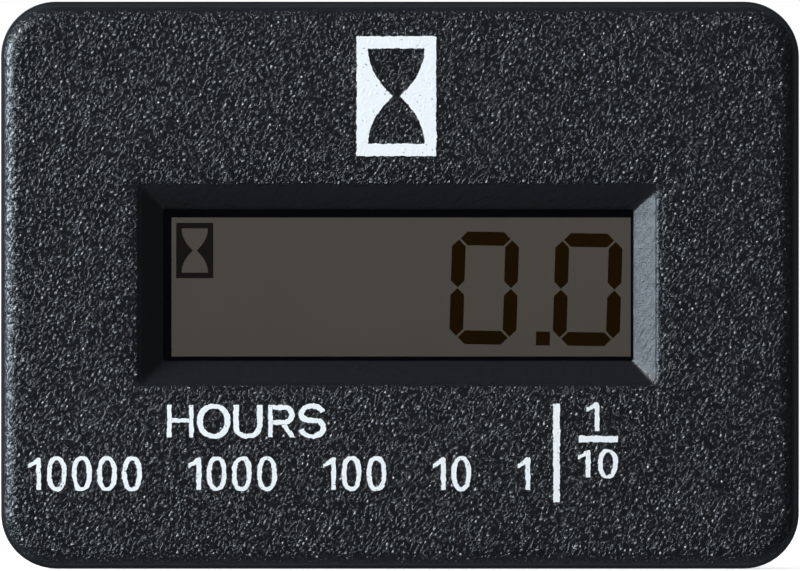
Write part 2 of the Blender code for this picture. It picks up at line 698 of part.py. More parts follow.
def display_layers():
    """The mask, the front film, the two glasses and the reflecting film, front to back."""
    overlap = 2 * MASK_OVERLAP
    outer = (APERTURE_WIDTH + overlap, APERTURE_HEIGHT + overlap, APERTURE_CORNER)
    sight = (SIGHT_WIDTH, SIGHT_HEIGHT, APERTURE_CORNER)
    place = (SIGHT_X, MASK_Y, SIGHT_Z)
    film_width = SIGHT_WIDTH + 2 * POLARISER_MARGIN
    film_height = SIGHT_HEIGHT + 2 * POLARISER_MARGIN
    back_height = REAR_GLASS_HEIGHT - 2 * FIT_GAP
    layers = [flat_frame("display_mask", "mask_black", outer, sight, MASK_THICKNESS, place)]
    for name, look, width, height, thickness, y in (
        ("front_polariser", "polariser", film_width, film_height, POLARISER_THICKNESS, POLARISER_Y),
        ("front_glass", "display_glass", GLASS_WIDTH, FRONT_GLASS_HEIGHT, GLASS_THICKNESS, FRONT_GLASS_Y),
        ("rear_glass", "display_glass", GLASS_WIDTH, REAR_GLASS_HEIGHT, GLASS_THICKNESS, REAR_GLASS_Y),
        ("rear_reflector", "display_reflector", film_width, back_height, REFLECTOR_THICKNESS, REFLECTOR_Y),
    ):
        layers.append(flat_plate(name, look, width, height, thickness, y))
        if name == "rear_glass":
            combine(layers[-1], display_figures(), "UNION")
    return layers


def pointed_bar(length, width):
    """A stroke of a figure, pointed at both ends, lying along X about its own middle."""
    end, tip = length / 2, width / 2
    right = [(end - tip, tip), (end, 0), (end - tip, -tip)]
    return right + [(-x, z) for x, z in reversed(right)]


def nought_strokes():
    """The six strokes that show a nought, as points (x, z) about the figure's middle."""
    across = FIGURE_WIDTH - STROKE
    up = (SIGHT_HEIGHT - 2 * FIGURE_MARGIN - STROKE) / 2
    strokes = []
    for side in SIDES:
        flat = pointed_bar(across - 2 * STROKE_GAP, STROKE)
        strokes.append([(x, z + side * up) for x, z in flat])
        for half in SIDES:
            upright = pointed_bar(up - 2 * STROKE_GAP, STROKE)
            strokes.append([(z + side * across / 2, x + half * up / 2) for x, z in upright])
    return strokes


def leaned(points, middle_x, middle_z):
    """Slants a figure's points and tilts them a little, as the display sits in its case."""
    placed = []
    for x, z in points:
        x += z * math.tan(FIGURE_SLANT)
        placed.append((x + middle_x, z + x * math.tan(FIGURE_TILT) + middle_z))
    return placed


def display_figures():
    """What the display shows, 0.0 and a small hourglass, as strokes on the rear glass."""
    shape = bmesh.new()
    depth = FIGURE_RELIEF + FIGURE_ROOT
    last_x = SIGHT_X + SIGHT_WIDTH / 2 - LAST_FIGURE_INSET
    last_z = SIGHT_Z - FIGURE_DROP
    for place in range(FIGURE_COUNT):
        middle_z = last_z - place * FIGURE_PITCH * math.tan(FIGURE_TILT)
        for stroke in nought_strokes():
            outline = leaned(stroke, last_x - place * FIGURE_PITCH, middle_z)
            add_prism(shape, outline, 0.0, depth)
    half = STROKE / 2
    point_z = last_z - SIGHT_HEIGHT / 2 + FIGURE_MARGIN + half
    square = [(-half, -half), (half, -half), (half, half), (-half, half)]
    add_prism(shape, leaned(square, last_x - POINT_BACK, point_z), 0.0, depth)
    pictogram = (
        SIGHT_X - SIGHT_WIDTH / 2 + PICTOGRAM_INSET,
        SIGHT_Z + SIGHT_HEIGHT / 2 - PICTOGRAM_DROP,
    )
    add_hourglass_plate(shape, PICTOGRAM_WIDTH, PICTOGRAM_HEIGHT, depth, pictogram)
    return helper("display_figures", shape, (0, FIGURE_Y, 0), "display_figure")


def holder_pocket(name, width, height, start, end):
    """A rectangular cut in the holder, with a fit gap all round the piece it takes."""
    shape = bmesh.new()
    half_x, half_z = width / 2 + FIT_GAP, height / 2 + FIT_GAP
    add_block(shape, (-half_x, start, -half_z), (half_x, end, half_z))
    return helper(name, shape)


def strip_slots():
    """The two slots that guide the contact strips through the holder."""
    shape = bmesh.new()
    half_x, half_z = STRIP_LENGTH / 2 + FIT_GAP, STRIP_WIDTH / 2 + FIT_GAP
    for side in SIDES:
        low = (-half_x, FRONT_GLASS_Y - CUT_PAST, side * STRIP_Z - half_z)
        add_block(shape, low, (half_x, BOARD_Y + CUT_PAST, side * STRIP_Z + half_z))
    return helper("strip_slots", shape)


def holder_pegs():
    """Pegs that pass through the board and hold it."""
    shape = bmesh.new()
    root = BOARD_Y - PEG_ROOT
    for place in PEG_PLACES:
        add_rod(shape, PEG_RADIUS, root, BOARD_BACK_Y + PEG_PROUD, place)
    return helper("holder_pegs", shape)


def display_holder():
    """Moulded frame that holds the glasses and guides the contact strips to the board."""
    shape = bmesh.new()
    outline = rounded_rectangle(HOLDER_WIDTH, HOLDER_HEIGHT, CAVITY_CORNER)
    add_prism(shape, outline, FRONT_GLASS_Y, FRONT_GLASS_Y + HOLDER_DEPTH)
    holder = new_object("display_holder", shape, "holder_plastic")
    combine(holder, holder_pegs(), "UNION")
    width, height = HOLDER_WIDTH - 2 * HOLDER_RIM, REAR_GLASS_HEIGHT - 2 * HOLDER_WEB
    behind = HOLDER_WEB_Y + HOLDER_WEB
    for pocket in (
        holder_pocket("front_pocket", GLASS_WIDTH, FRONT_GLASS_HEIGHT, FRONT_GLASS_Y - CUT_PAST, STRIP_Y),
        holder_pocket("rear_pocket", GLASS_WIDTH, REAR_GLASS_HEIGHT, STRIP_Y - CUT_PAST / 2, HOLDER_WEB_Y),
        holder_pocket("back_recess", width, height, behind, BOARD_Y + CUT_PAST),
        strip_slots(),
    ):
        combine(holder, pocket, "DIFFERENCE")
    smooth(holder)
    return holder


def contact_strips():
    """Two conductive rubber strips that carry the signals from the board to the glass."""
    made = []
    for name, side in (("lower_contact_strip", -1), ("upper_contact_strip", 1)):
        shape = bmesh.new()
        low = (-STRIP_LENGTH / 2, STRIP_Y, -STRIP_WIDTH / 2)
        add_block(shape, low, (STRIP_LENGTH / 2, BOARD_Y - LAYER_GAP, STRIP_WIDTH / 2))
        made.append(new_object(name, shape, "contact_rubber", (0, 0, side * STRIP_Z)))
    return made


def circuit_board():
    """Board with its corners cut away round the bosses and holes for the holder's pegs."""
    shape = bmesh.new()
    outline = rounded_rectangle(BOARD_WIDTH, BOARD_HEIGHT, BOARD_CORNER)
    add_prism(shape, outline, BOARD_Y, BOARD_BACK_Y)
    board = new_object("circuit_board", shape, "board_green")
    cuts = bmesh.new()
    start, end = BOARD_Y - CUT_PAST, BOARD_BACK_Y + CUT_PAST
    for place in BOSS_PLACES:
        add_rod(cuts, BOSS_RADIUS + LOOSE_GAP, start, end, place)
    for place in PEG_PLACES:
        add_rod(cuts, PEG_RADIUS + FIT_GAP, start, end, place)
    combine(board, helper("board_cuts", cuts), "DIFFERENCE")
    return board


def chip_leads(place):
    """Leads on the chip's four sides, each out of the body, down, and flat on the board."""
    shoulder = CHIP_STANDOFF + CHIP_THICKNESS / 2
    sole = LEAD_THICKNESS / 2 + LAYER_GAP
    path = [(-LEAD_THICKNESS, shoulder), (LEAD_SPREAD / 3, shoulder)]
    path += [(LEAD_SPREAD / 2, sole), (LEAD_SPREAD - LEAD_THICKNESS, sole)]
    line = [Vector((CHIP_SIZE / 2 + out, y)) for out, y in path]
    outline = thickened(line, LEAD_THICKNESS)
    shape = bmesh.new()
    for quarter in range(4):
        turn = Matrix.Rotation(quarter * math.pi / 2, 3, "Y")
        for number in range(CHIP_LEADS_A_SIDE):
            middle = (number - (CHIP_LEADS_A_SIDE - 1) / 2) * LEAD_PITCH
            add_strip(shape, outline, LEAD_WIDTH, turn, middle)
    return helper("chip_leads", shape, place, "tinned_metal")


def counter_chip():
    """The counting chip on the back of the board."""
    shape = bmesh.new()
    half = CHIP_SIZE / 2
    top = CHIP_STANDOFF + CHIP_THICKNESS
    add_block(shape, (-half, CHIP_STANDOFF, -half), (half, top, half))
    bmesh.ops.bevel(shape, geom=shape.edges[:], offset=CHIP_EDGE, segments=1, affect="EDGES")
    place = (CHIP_X, BOARD_BACK_Y, CHIP_Z)
    chip = new_object("counter_chip", shape, "chip_epoxy", place)
    combine(chip, chip_leads(place), "UNION")
    return chip


def wires_to_board(name, place, starts, out, lift):
    """Wires that run out along Z from (x, z) starts and turn down to the board."""
    shape = bmesh.new()
    for x, z in starts:
        root = z - math.copysign(WIRE_RADIUS, z)
        bend = z + math.copysign(out, z)
        add_wire(shape, [(x, 0, root), (x, 0, bend), (x, LAYER_GAP - lift, bend)])
    return helper(name, shape, place, "tinned_metal")


def timing_crystal():
    """Small round can that keeps time, lying on the board with two wires bent down to it."""
    radius, end, edge = CRYSTAL_RADIUS, CRYSTAL_LENGTH / 2, CRYSTAL_EDGE
    seam = radius - CRYSTAL_SEAM
    profile = [(radius - edge, -end), (radius, edge - end), (radius, end - edge)]
    profile += [(seam, end - edge), (seam, end)]
    shape = bmesh.new()
    add_turned(shape, profile, steps=BORE_STEPS)
    turn_upright(shape)
    lift = radius + LOOSE_GAP
    place = (CRYSTAL_X, BOARD_BACK_Y + lift, -CRYSTAL_DROP)
    crystal = new_object("timing_crystal", shape, "tinned_metal", place)
    starts = [(side * CRYSTAL_WIRE_ASIDE, end) for side in SIDES]
    wires = wires_to_board("crystal_wires", place, starts, WIRE_RUN, lift)
    combine(crystal, wires, "UNION")
    smooth(crystal)
    return crystal


def vibration_sensor():
    """Sealed vibration switch lying upright on the board, with a wire out of each end."""
    radius, end, edge = SENSOR_RADIUS, SENSOR_LENGTH / 2, SENSOR_EDGE
    groove = end - SENSOR_GROOVE_INSET
    upper = [(radius, groove - edge), (radius - edge, groove), (radius, groove + edge)]
    upper += [(radius, end - edge), (radius - edge, end)]
    shape = bmesh.new()
    add_turned(shape, [(r, -y) for r, y in reversed(upper)] + upper)
    turn_upright(shape)
    lift = radius + LAYER_GAP
    place = (SENSOR_X, BOARD_BACK_Y + lift, 0)
    sensor = new_object("vibration_sensor", shape, "sensor_shell", place)
    wires = wires_to_board("sensor_wires", place, [(0, -end), (0, end)], WIRE_RUN, lift)
    combine(sensor, wires, "UNION")
    smooth(sensor)
    return sensor


def small_part(name, finish_name, size, place):
    """A surface-mounted block on the board, its size given along X, Y and Z."""
    shape = bmesh.new()
    add_block(shape, (-size[0] / 2, 0, -size[2] / 2), (size[0] / 2, size[1], size[2] / 2))
    return new_object(name, shape, finish_name, (place[0], BOARD_BACK_Y + LAYER_GAP, place[1]))


def small_parts():
    """Capacitors in a column beside the cell, and resistors in one below the sensor."""
    made = []
    size = (CAPACITOR_LENGTH, CAPACITOR_WIDTH, CAPACITOR_WIDTH)
    for number in range(CAPACITOR_COUNT):
        place = (CAPACITOR_X, CAPACITOR_Z - number * CAPACITOR_PITCH)
        made.append(small_part(f"capacitor_{number + 1}", "capacitor_tan", size, place))
    size = (RESISTOR_LENGTH, RESISTOR_HEIGHT, RESISTOR_WIDTH)
    for number in range(RESISTOR_COUNT):
        place = (RESISTOR_X, RESISTOR_Z - number * RESISTOR_PITCH)
        made.append(small_part(f"resistor_{number + 1}", "resistor_black", size, place))
    return made


def coin_cell():
    """Lithium coin cell, its smaller negative cap towards the board."""
    edge = CELL_EDGE
    profile = [(CELL_CAP_RADIUS - edge, 0.0), (CELL_CAP_RADIUS, edge)]
    profile += [(CELL_CAP_RADIUS, CELL_CAP_HEIGHT), (CELL_RADIUS - edge, CELL_CAP_HEIGHT)]
    profile += [(CELL_RADIUS, CELL_CAP_HEIGHT + edge), (CELL_RADIUS, CELL_HEIGHT - edge)]
    profile += [(CELL_RADIUS - edge, CELL_HEIGHT)]
    shape = bmesh.new()
    add_turned(shape, profile, steps=CELL_STEPS)
    cell = new_object("coin_cell", shape, "cell_steel", (CELL_X, CELL_Y, 0))
    smooth(cell)
    return cell


def cell_straps():
    """Nickel straps welded to the cell: one over its back, one between it and the board."""
    half = STRAP_THICKNESS / 2
    over = CELL_Y + CELL_HEIGHT + LAYER_GAP + half
    right = CELL_X + CELL_RADIUS + LOOSE_GAP + half
    path = [(right - STRAP_ON_CELL, over), (right, over), (right, BOARD_BACK_Y + LAYER_GAP)]
    outline = thickened(rounded_path(path, 2 * STRAP_THICKNESS), STRAP_THICKNESS)
    shape = bmesh.new()
    add_strip(shape, outline, POSITIVE_STRAP_WIDTH)
    positive = new_object("positive_strap", shape, "tinned_metal")
    under = CELL_Y - LAYER_GAP - half
    left = CELL_X - CELL_RADIUS - LOOSE_GAP - half
    low = BOARD_BACK_Y + LAYER_GAP + half
    path = [(CELL_X, under), (left, under), (left - STRAP_THICKNESS, low), (left - STRAP_FOOT, low)]
    shape = bmesh.new()
    add_strip(shape, thickened([Vector(p) for p in path], STRAP_THICKNESS), NEGATIVE_STRAP_WIDTH)
    return [positive, new_object("negative_strap", shape, "tinned_metal")]


def cell_pad():
    """Foam pad that the cover presses on the cell."""
    shape = bmesh.new()
    add_block(shape, (-PAD_WIDTH / 2, 0, -PAD_HEIGHT / 2), (PAD_WIDTH / 2, PAD_THICKNESS, PAD_HEIGHT / 2))
    return new_object("cell_pad", shape, "pad_foam", (CELL_X, PAD_Y, 0))


def cover_seal():
    """Flat rubber frame between the case's end and the rear cover."""
    inset = SEAL_INSET
    outer = (BODY_WIDTH - 2 * inset, BODY_HEIGHT - 2 * inset, BODY_CORNER - inset)
    inner = (CAVITY_WIDTH, CAVITY_HEIGHT, CAVITY_CORNER)
    place = (0, BODY_END_Y + LAYER_GAP, 0)
    return flat_frame("cover_seal", "black_rubber", outer, inner, SEAL_THICKNESS, place)


def cover_lip_and_bosses():
    """The lip that enters the case, and a boss round each stud's hole."""
    shape = bmesh.new()
    inset = 2 * FIT_GAP
    width, height = CAVITY_WIDTH - 2 * inset, CAVITY_HEIGHT - 2 * inset
    outside = rounded_rectangle(width, height, CAVITY_CORNER - inset)
    inside = rounded_rectangle(width - 2 * LIP_WALL, height - 2 * LIP_WALL, CAVITY_CORNER - inset)
    start, end = COVER_Y - LIP_DEPTH, COVER_Y + COVER_THICKNESS / 3
    add_frame(shape, [(outside, start), (outside, end), (inside, end), (inside, start)])
    radius = STUD_HEAD_ACROSS / 2 + STUD_BOSS_WALL
    top, edge = COVER_BACK_Y + STUD_BOSS_HEIGHT, COVER_CHAMFER / 2
    profile = [(radius, COVER_Y + COVER_THICKNESS / 2), (radius, top - edge), (radius - edge, top)]
    for x in STUD_PLACES:
        add_turned(shape, profile, (x, 0))
    return helper("cover_lip_and_bosses", shape)


def cover_inner_cuts():
    """Room for the case's bosses in the lip, and a hexagon pocket for each stud's head."""
    shape = bmesh.new()
    start = COVER_Y - LIP_DEPTH - CUT_PAST
    for place in BOSS_PLACES:
        add_rod(shape, BOSS_RADIUS + LOOSE_GAP, start, COVER_Y + FIT_GAP, place)
    pocket = turned_outline(hexagon(STUD_HEAD_ACROSS + 2 * FIT_GAP), HEX_STEPS)
    for x in STUD_PLACES:
        add_prism(shape, pocket, start, COVER_Y + STUD_HEAD_HEIGHT + FIT_GAP, (x, 0))
    return helper("cover_inner_cuts", shape)


def cover_holes():
    """Clearance holes for the screws and the studs."""
    shape = bmesh.new()
    start = COVER_Y - LIP_DEPTH - CUT_PAST
    for place in BOSS_PLACES:
        add_rod(shape, SCREW_RADIUS + LOOSE_GAP, start, COVER_BACK_Y + CUT_PAST, place)
    for x in STUD_PLACES:
        add_rod(shape, STUD_RADIUS + FIT_GAP, start, BRACKET_WEB_Y + CUT_PAST, (x, 0))
    return helper("cover_holes", shape)


def cover_counterbores():
    """Flat seats that sink the screws' heads."""
    shape = bmesh.new()
    for place in BOSS_PLACES:
        radius = SCREW_HEAD_RADIUS + 2 * FIT_GAP
        add_rod(shape, radius, SCREW_SEAT_Y - LAYER_GAP, COVER_BACK_Y + CUT_PAST, place)
    return helper("cover_counterbores", shape)


def rear_cover():
    """The cover that closes the body and carries the studs."""
    full = rounded_rectangle(BODY_WIDTH, BODY_HEIGHT, BODY_CORNER)
    edge = COVER_CHAMFER
    trimmed = rounded_rectangle(BODY_WIDTH - 2 * edge, BODY_HEIGHT - 2 * edge, BODY_CORNER - edge)
    shape = bmesh.new()
    add_loft(shape, [(full, COVER_Y), (full, COVER_BACK_Y - edge), (trimmed, COVER_BACK_Y)])
    cover = new_object("rear_cover", shape, "case_plastic")
    combine(cover, cover_lip_and_bosses(), "UNION")
    for cuts in (cover_inner_cuts(), cover_holes(), cover_counterbores()):
        combine(cover, cuts, "DIFFERENCE")
    smooth(cover)
    return cover


def cover_screw(name, place):
    """Cross-headed screw with a pointed tip, its head sunk in the cover's counterbore."""
    radius, height = SCREW_RADIUS, SCREW_HEAD_HEIGHT
    profile = [(SCREW_TIP_RADIUS, -SCREW_LENGTH), (radius, SCREW_TIP_LENGTH - SCREW_LENGTH)]
    profile += [(radius, 0.0), (SCREW_HEAD_RADIUS, 0.0)]
    profile += [(SCREW_HEAD_RADIUS * wide, height * high) for wide, high in SCREW_DOME_SHARES]
    shape = bmesh.new()
    add_turned(shape, profile, steps=BORE_STEPS)
    location = (place[0], SCREW_SEAT_Y, place[1])
    screw = new_object(name, shape, "zinc_steel", location)
    half, arm = SCREW_CROSS_WIDTH / 2, SCREW_CROSS_LENGTH / 2
    cross = [(half, arm), (-half, arm), (-half, half), (-arm, half), (-arm, -half), (-half, -half)]
    cross += [(-half, -arm), (half, -arm), (half, -half), (arm, -half), (arm, half), (half, half)]
    cuts = bmesh.new()
    add_prism(cuts, cross, height - SCREW_CROSS_DEPTH, height + CUT_PAST)
    combine(screw, helper(f"{name}_cross", cuts, location), "DIFFERENCE")
    smooth(screw)
    return screw


def stud(name, x):
    """Stud whose hexagon head sits in the cover's pocket."""
    shape = bmesh.new()
    head = turned_outline(hexagon(STUD_HEAD_ACROSS), HEX_STEPS)
    shank = turned_outline(STUD_RADIUS, HEX_STEPS)
    point = turned_outline(STUD_RADIUS - STUD_CHAMFER, HEX_STEPS)
    end = STUD_END_Y - COVER_Y
    outlines = [(head, 0.0), (head, STUD_HEAD_HEIGHT), (shank, STUD_HEAD_HEIGHT)]
    outlines += [(shank, end - STUD_CHAMFER), (point, end)]
    add_loft(shape, outlines)
    made = new_object(name, shape, "zinc_steel", (x, COVER_Y, 0))
    smooth(made)
    return made


def lock_washer(name, x):
    """Split spring washer."""
    outline = []
    for radius, order in ((WASHER_RADIUS, 1), (STUD_RADIUS + 2 * FIT_GAP, -1)):
        arc = []
        for step in range(ROUND_STEPS + 1):
            angle = WASHER_SPLIT / 2 + (2 * math.pi - WASHER_SPLIT) * step / ROUND_STEPS
            arc.append((radius * math.cos(angle), radius * math.sin(angle)))
        outline += arc[::order]
    shape = bmesh.new()
    add_prism(shape, outline, 0.0, WASHER_THICKNESS)
    return new_object(name, shape, "zinc_steel", (x, WASHER_Y, 0))


def hex_nut(name, x):
    """Hexagon nut with both faces chamfered to a circle, and a plain bore."""
    bore = turned_outline(STUD_RADIUS + FIT_GAP, HEX_STEPS)
    face = turned_outline(NUT_ACROSS / 2, HEX_STEPS)
    body = turned_outline(hexagon(NUT_ACROSS), HEX_STEPS)
    outlines = [(bore, 0.0), (face, 0.0), (body, NUT_CHAMFER)]
    outlines += [(body, NUT_THICKNESS - NUT_CHAMFER), (face, NUT_THICKNESS), (bore, NUT_THICKNESS)]
    shape = bmesh.new()
    add_frame(shape, outlines)
    return new_object(name, shape, "zinc_steel", (x, NUT_Y, 0))


def mounting_bracket():
    """Folded steel strap over the cover, whose feet press on the back of the panel."""
    half = BRACKET_THICKNESS / 2
    leg = BODY_WIDTH / 2 + BRACKET_LEG_GAP + half
    foot = PANEL_THICKNESS + half
    web = BRACKET_WEB_Y + half
    toe = leg + BRACKET_FOOT_LENGTH
    path = [(-toe, foot), (-leg, foot), (-leg, web), (leg, web), (leg, foot), (toe, foot)]
    outline = thickened(rounded_path(path, BRACKET_BEND), BRACKET_THICKNESS)
    shape = bmesh.new()
    add_strip(shape, outline, BRACKET_WIDTH)
    bracket = new_object("mounting_bracket", shape, "zinc_steel")
    cuts = bmesh.new()
    for x in STUD_PLACES:
        start = BRACKET_WEB_Y - CUT_PAST
        add_rod(cuts, STUD_RADIUS + LOOSE_GAP, start, WASHER_Y + CUT_PAST, (x, 0))
    combine(bracket, helper("bracket_holes", cuts), "DIFFERENCE")
    smooth(bracket)
    return bracket


def build():
    """Makes every piece and parents them all to one empty at the origin."""
    clear_scene()
    pieces = [front_case(), panel_gasket(), *printed_marks(), *lens_and_seal(), *display_layers()]
    pieces += [display_holder(), *contact_strips(), circuit_board(), counter_chip()]
    pieces += [timing_crystal(), vibration_sensor(), *small_parts()]
    pieces += [coin_cell(), *cell_straps(), cell_pad(), cover_seal(), rear_cover()]
    corners = ("lower_left", "upper_left", "lower_right", "upper_right")
    for corner, place in zip(corners, BOSS_PLACES):
        pieces.append(cover_screw(f"{corner}_screw", place))
    for side, x in zip(("left", "right"), STUD_PLACES):
        pieces += [stud(f"{side}_stud", x), lock_washer(f"{side}_lock_washer", x)]
        pieces.append(hex_nut(f"{side}_nut", x))
    pieces.append(mounting_bracket())
    whole = bpy.data.objects.new("hour_meter", None)
    bpy.context.scene.collection.objects.link(whole)
    for piece in pieces:
        piece.parent = whole


build()
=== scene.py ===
# %% [markdown]
# # An hour meter: grained bezel, liquid-crystal display and rear bracket
#
# A small panel instrument is mostly moulded black plastic, so the eye lives on three things:
# the leather-like grain of the face, the crisp window with its display, and the white print.
# Each cell below makes one piece or one finish. Sizes are in millimetres until a mesh is made.

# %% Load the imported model
import json

import bmesh
import bpy
import numpy as np
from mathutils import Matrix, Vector


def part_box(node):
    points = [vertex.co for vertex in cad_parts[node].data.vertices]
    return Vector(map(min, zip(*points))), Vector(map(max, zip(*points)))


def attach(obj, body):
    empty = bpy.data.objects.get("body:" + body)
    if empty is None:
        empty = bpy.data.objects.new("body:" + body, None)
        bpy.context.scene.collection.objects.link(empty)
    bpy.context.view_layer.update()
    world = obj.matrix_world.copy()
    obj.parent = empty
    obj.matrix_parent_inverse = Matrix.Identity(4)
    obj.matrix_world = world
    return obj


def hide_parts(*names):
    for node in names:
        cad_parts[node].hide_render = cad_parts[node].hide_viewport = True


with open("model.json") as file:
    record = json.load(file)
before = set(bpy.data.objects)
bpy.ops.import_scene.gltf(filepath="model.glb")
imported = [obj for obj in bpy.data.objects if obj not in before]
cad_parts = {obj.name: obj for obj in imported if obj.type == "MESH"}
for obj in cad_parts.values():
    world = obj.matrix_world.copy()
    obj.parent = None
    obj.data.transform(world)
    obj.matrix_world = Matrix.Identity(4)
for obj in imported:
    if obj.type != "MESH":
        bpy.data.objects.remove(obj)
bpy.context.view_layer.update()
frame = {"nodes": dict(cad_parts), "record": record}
nodes = frame["nodes"]
scene = bpy.context.scene
MM = 0.001
rng = np.random.default_rng(7)


def box_mm(node):
    """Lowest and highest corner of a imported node, in millimetres."""
    low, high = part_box(node)
    return np.array(low) / MM, np.array(high) / MM


# %% [markdown]
# ## Surfaces from grids
#
# Most pieces here are a profile carried along a path. Both are arrays, so the piece is a grid of
# points, and one rule joins neighbours into faces. A closed skin has a signed volume, and its
# sign tells which way the faces point, so every skin can be turned outwards without guessing.


# %% Helpers that turn grids into closed skins
def grid_faces(rows, columns, wrap_rows, wrap_columns):
    """Each face joins point (r, c) to (r, c + 1), (r + 1, c + 1) and (r + 1, c), with wrapping."""
    row = np.arange(rows if wrap_rows else rows - 1)
    column = np.arange(columns if wrap_columns else columns - 1)
    r, c = (side.ravel() for side in np.meshgrid(row, column, indexing="ij"))
    r_next, c_next = (r + 1) % rows, (c + 1) % columns
    corners = [r * columns + c, r * columns + c_next, r_next * columns + c_next, r_next * columns + c]
    return np.stack(corners, 1).tolist()


def at_depth(outline, y):
    """The points (x, y, z) of an outline of (x, z) points that lies at depth y."""
    outline = np.asarray(outline, float)
    return np.stack([outline[:, 0], np.full(len(outline), y), outline[:, 1]], 1)


def signed_volume(points, faces):
    """A sixth of the triple product of each face's triangles, summed over the whole skin."""
    fans = [(f[0], f[k], f[k + 1]) for f in faces for k in range(1, len(f) - 1)]
    a, b, c = (points[np.array(fans)[:, k]] for k in range(3))
    return np.einsum("ij,ij->", a, np.cross(b, c)) / 6


def skin(grid, wrap_rows=False):
    """A closed skin from rings, given as (rings, points, 3): the ends are capped, or joined."""
    rings, count = grid.shape[:2]
    points = grid.reshape(-1, 3)
    faces = grid_faces(rings, count, wrap_rows, True)
    if not wrap_rows:
        faces += [list(range(count)), list(range((rings - 1) * count, rings * count))[::-1]]
    if signed_volume(points, faces) < 0:
        faces = [face[::-1] for face in faces]
    return points, faces


def new_piece(name, skins, material, replaces=(), sharp=35):
    """One object from several skins, riding on the body, shaded smooth but for its real edges."""
    points, faces, start = [], [], 0
    for skin_points, skin_faces in skins:
        points.append(skin_points)
        faces += [[start + corner for corner in face] for face in skin_faces]
        start += len(skin_points)
    mesh = bpy.data.meshes.new(name)
    mesh.from_pydata((np.concatenate(points) * MM).tolist(), [], faces)
    mesh.shade_smooth()
    mesh.set_sharp_from_angle(angle=np.radians(sharp))
    mesh.materials.append(material)
    made = bpy.data.objects.new(name, mesh)
    scene.collection.objects.link(made)
    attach(made, "root")
    if replaces:
        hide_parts(*replaces)
    print(f"{name}: {len(faces)} faces")
    return made


# %% [markdown]
# ## Finishes
#
# A finish is a Principled shader with nodes that vary its colour, roughness and bump. All of
# them read Object coordinates, because every piece sits unturned at the origin: a pattern then
# has one scale in metres over the whole meter.


# %% Helpers that build node trees
def put(tree, kind, settings=None, **sockets):
    """A shader node with its settings and inputs, by name or _number, each set to a value or linked."""
    made = tree.nodes.new(f"ShaderNode{kind}")
    for name, value in (settings or {}).items():
        setattr(made, name, value)
    for name, value in sockets.items():
        socket = made.inputs[int(name[1:]) if name[1:].isdigit() else name.replace("_", " ")]
        if isinstance(value, bpy.types.NodeSocket):
            tree.links.new(value, socket)
        else:
            socket.default_value = value
    return made


def new_material(name, colour, roughness, metallic=0.0, specular=0.5):
    """A Principled material: returns it, its node tree, its shader and Object coordinates."""
    made = bpy.data.materials.new(name)
    made.use_nodes = True
    shader = made.node_tree.nodes["Principled BSDF"]
    shader.inputs["Base Color"].default_value = (*colour, 1.0)
    shader.inputs["Roughness"].default_value = roughness
    shader.inputs["Metallic"].default_value = metallic
    shader.inputs["Specular IOR Level"].default_value = specular
    place = made.node_tree.nodes.new("ShaderNodeTexCoord").outputs["Object"]
    return made, made.node_tree, shader, place


def noise(tree, place, size_mm, detail=2.0):
    """Noise whose soft blobs are about size_mm across, as a value from 0 to 1."""
    scale = 1 / (size_mm * MM)
    return put(tree, "TexNoise", Vector=place, Scale=scale, Detail=detail).outputs["Fac"]


def ramp(tree, value, low, high, to_low=0.0, to_high=1.0):
    """Maps a value from low..high to to_low..to_high, held at both ends."""
    held = put(tree, "MapRange", Value=value, From_Min=low, From_Max=high, To_Min=to_low, To_Max=to_high)
    return held.outputs["Result"]


def arithmetic(tree, operation, first, second):
    """One operation on two values."""
    return put(tree, "Math", {"operation": operation}, _0=first, _1=second).outputs["Value"]


def times(tree, first, second):
    """The product of two values."""
    return arithmetic(tree, "MULTIPLY", first, second)


def plus(tree, first, second):
    """The sum of two values."""
    return arithmetic(tree, "ADD", first, second)


def mixed_colour(tree, share, first, second):
    """Blends two colours by a share from 0 to 1. The first may be another blend's colour."""
    first = (*first, 1.0) if isinstance(first, tuple) else first
    blend = put(tree, "Mix", {"data_type": "RGBA"}, _0=share, _6=first, _7=(*second, 1.0))
    return blend.outputs[2]


def bump(tree, shader, height, depth_mm):
    """Raises the surface by height, from 0 to 1, times depth_mm."""
    raised = put(tree, "Bump", Strength=1.0, Distance=depth_mm * MM, Height=height)
    tree.links.new(raised.outputs["Normal"], shader.inputs["Normal"])


# %% [markdown]
# ## The grain of the face
#
# The face comes out of a mould with a leather-like grain: fine leaning creases with a few raised
# pebbles among them, each under a third of a millimetre across. Modelled as mesh it would be
# millions of faces, so it is bump. Creases are noise, cut off below so that the ground stays
# flat. Pebbles are domes round the points of a Voronoi pattern, where a random number per cell
# makes most of them low. The light rakes over the face, so the tall ones glint. Their tops are
# also painted paler: a little of that is wear, and most is a painted glint on top of the real
# one. A point attribute says where the grain is: it stops short of the edge and leaves the window
# smooth, where only a satin surface and faint flow marks remain.

# %% Grained black plastic
GRAIN_LEAN, GRAIN_STRETCH = np.radians(-33), 1.4
GRAIN_DEPTH = 0.28
CREASE_SIZE, CREASE_HEIGHT = 0.16, 0.5
CREASE_LEVELS, CREASE_POWER = (0.45, 0.85), 1.5
PEBBLE_SIZE, PEBBLE_REACH, PEBBLE_RARITY = 0.28, 0.62, 3.5
PEBBLE_BLEND, PEBBLE_POWER = 0.3, 1.3
GROUND_HEIGHT = 0.15
POLISHED_GRAIN = 0.6
SATIN_SIZE, SATIN_HEIGHT = 0.11, 0.08
FLOW_SIZE, FLOW_STRETCH, FLOW_HEIGHT = 0.4, 3.0, 0.16
# Case colours: the black ground, paler pebble tops that are a little wear and mostly painted glint, and a
# painted glint on the tallest tips.
CASE_BLACK, CASE_WORN_AND_GLINT, CASE_PAINTED_GLINT = (0.009, 0.01, 0.0115), (0.03, 0.033, 0.037), (0.12, 0.13, 0.14)
WORN_AND_GLINT_LEVELS, PAINTED_GLINT_LEVELS = (0.0, 0.45), (0.42, 0.62)
SATIN_ROUGHNESS, GRAIN_ROUGHNESS, ROUGHNESS_DRIFT = 0.33, 0.14, 0.03


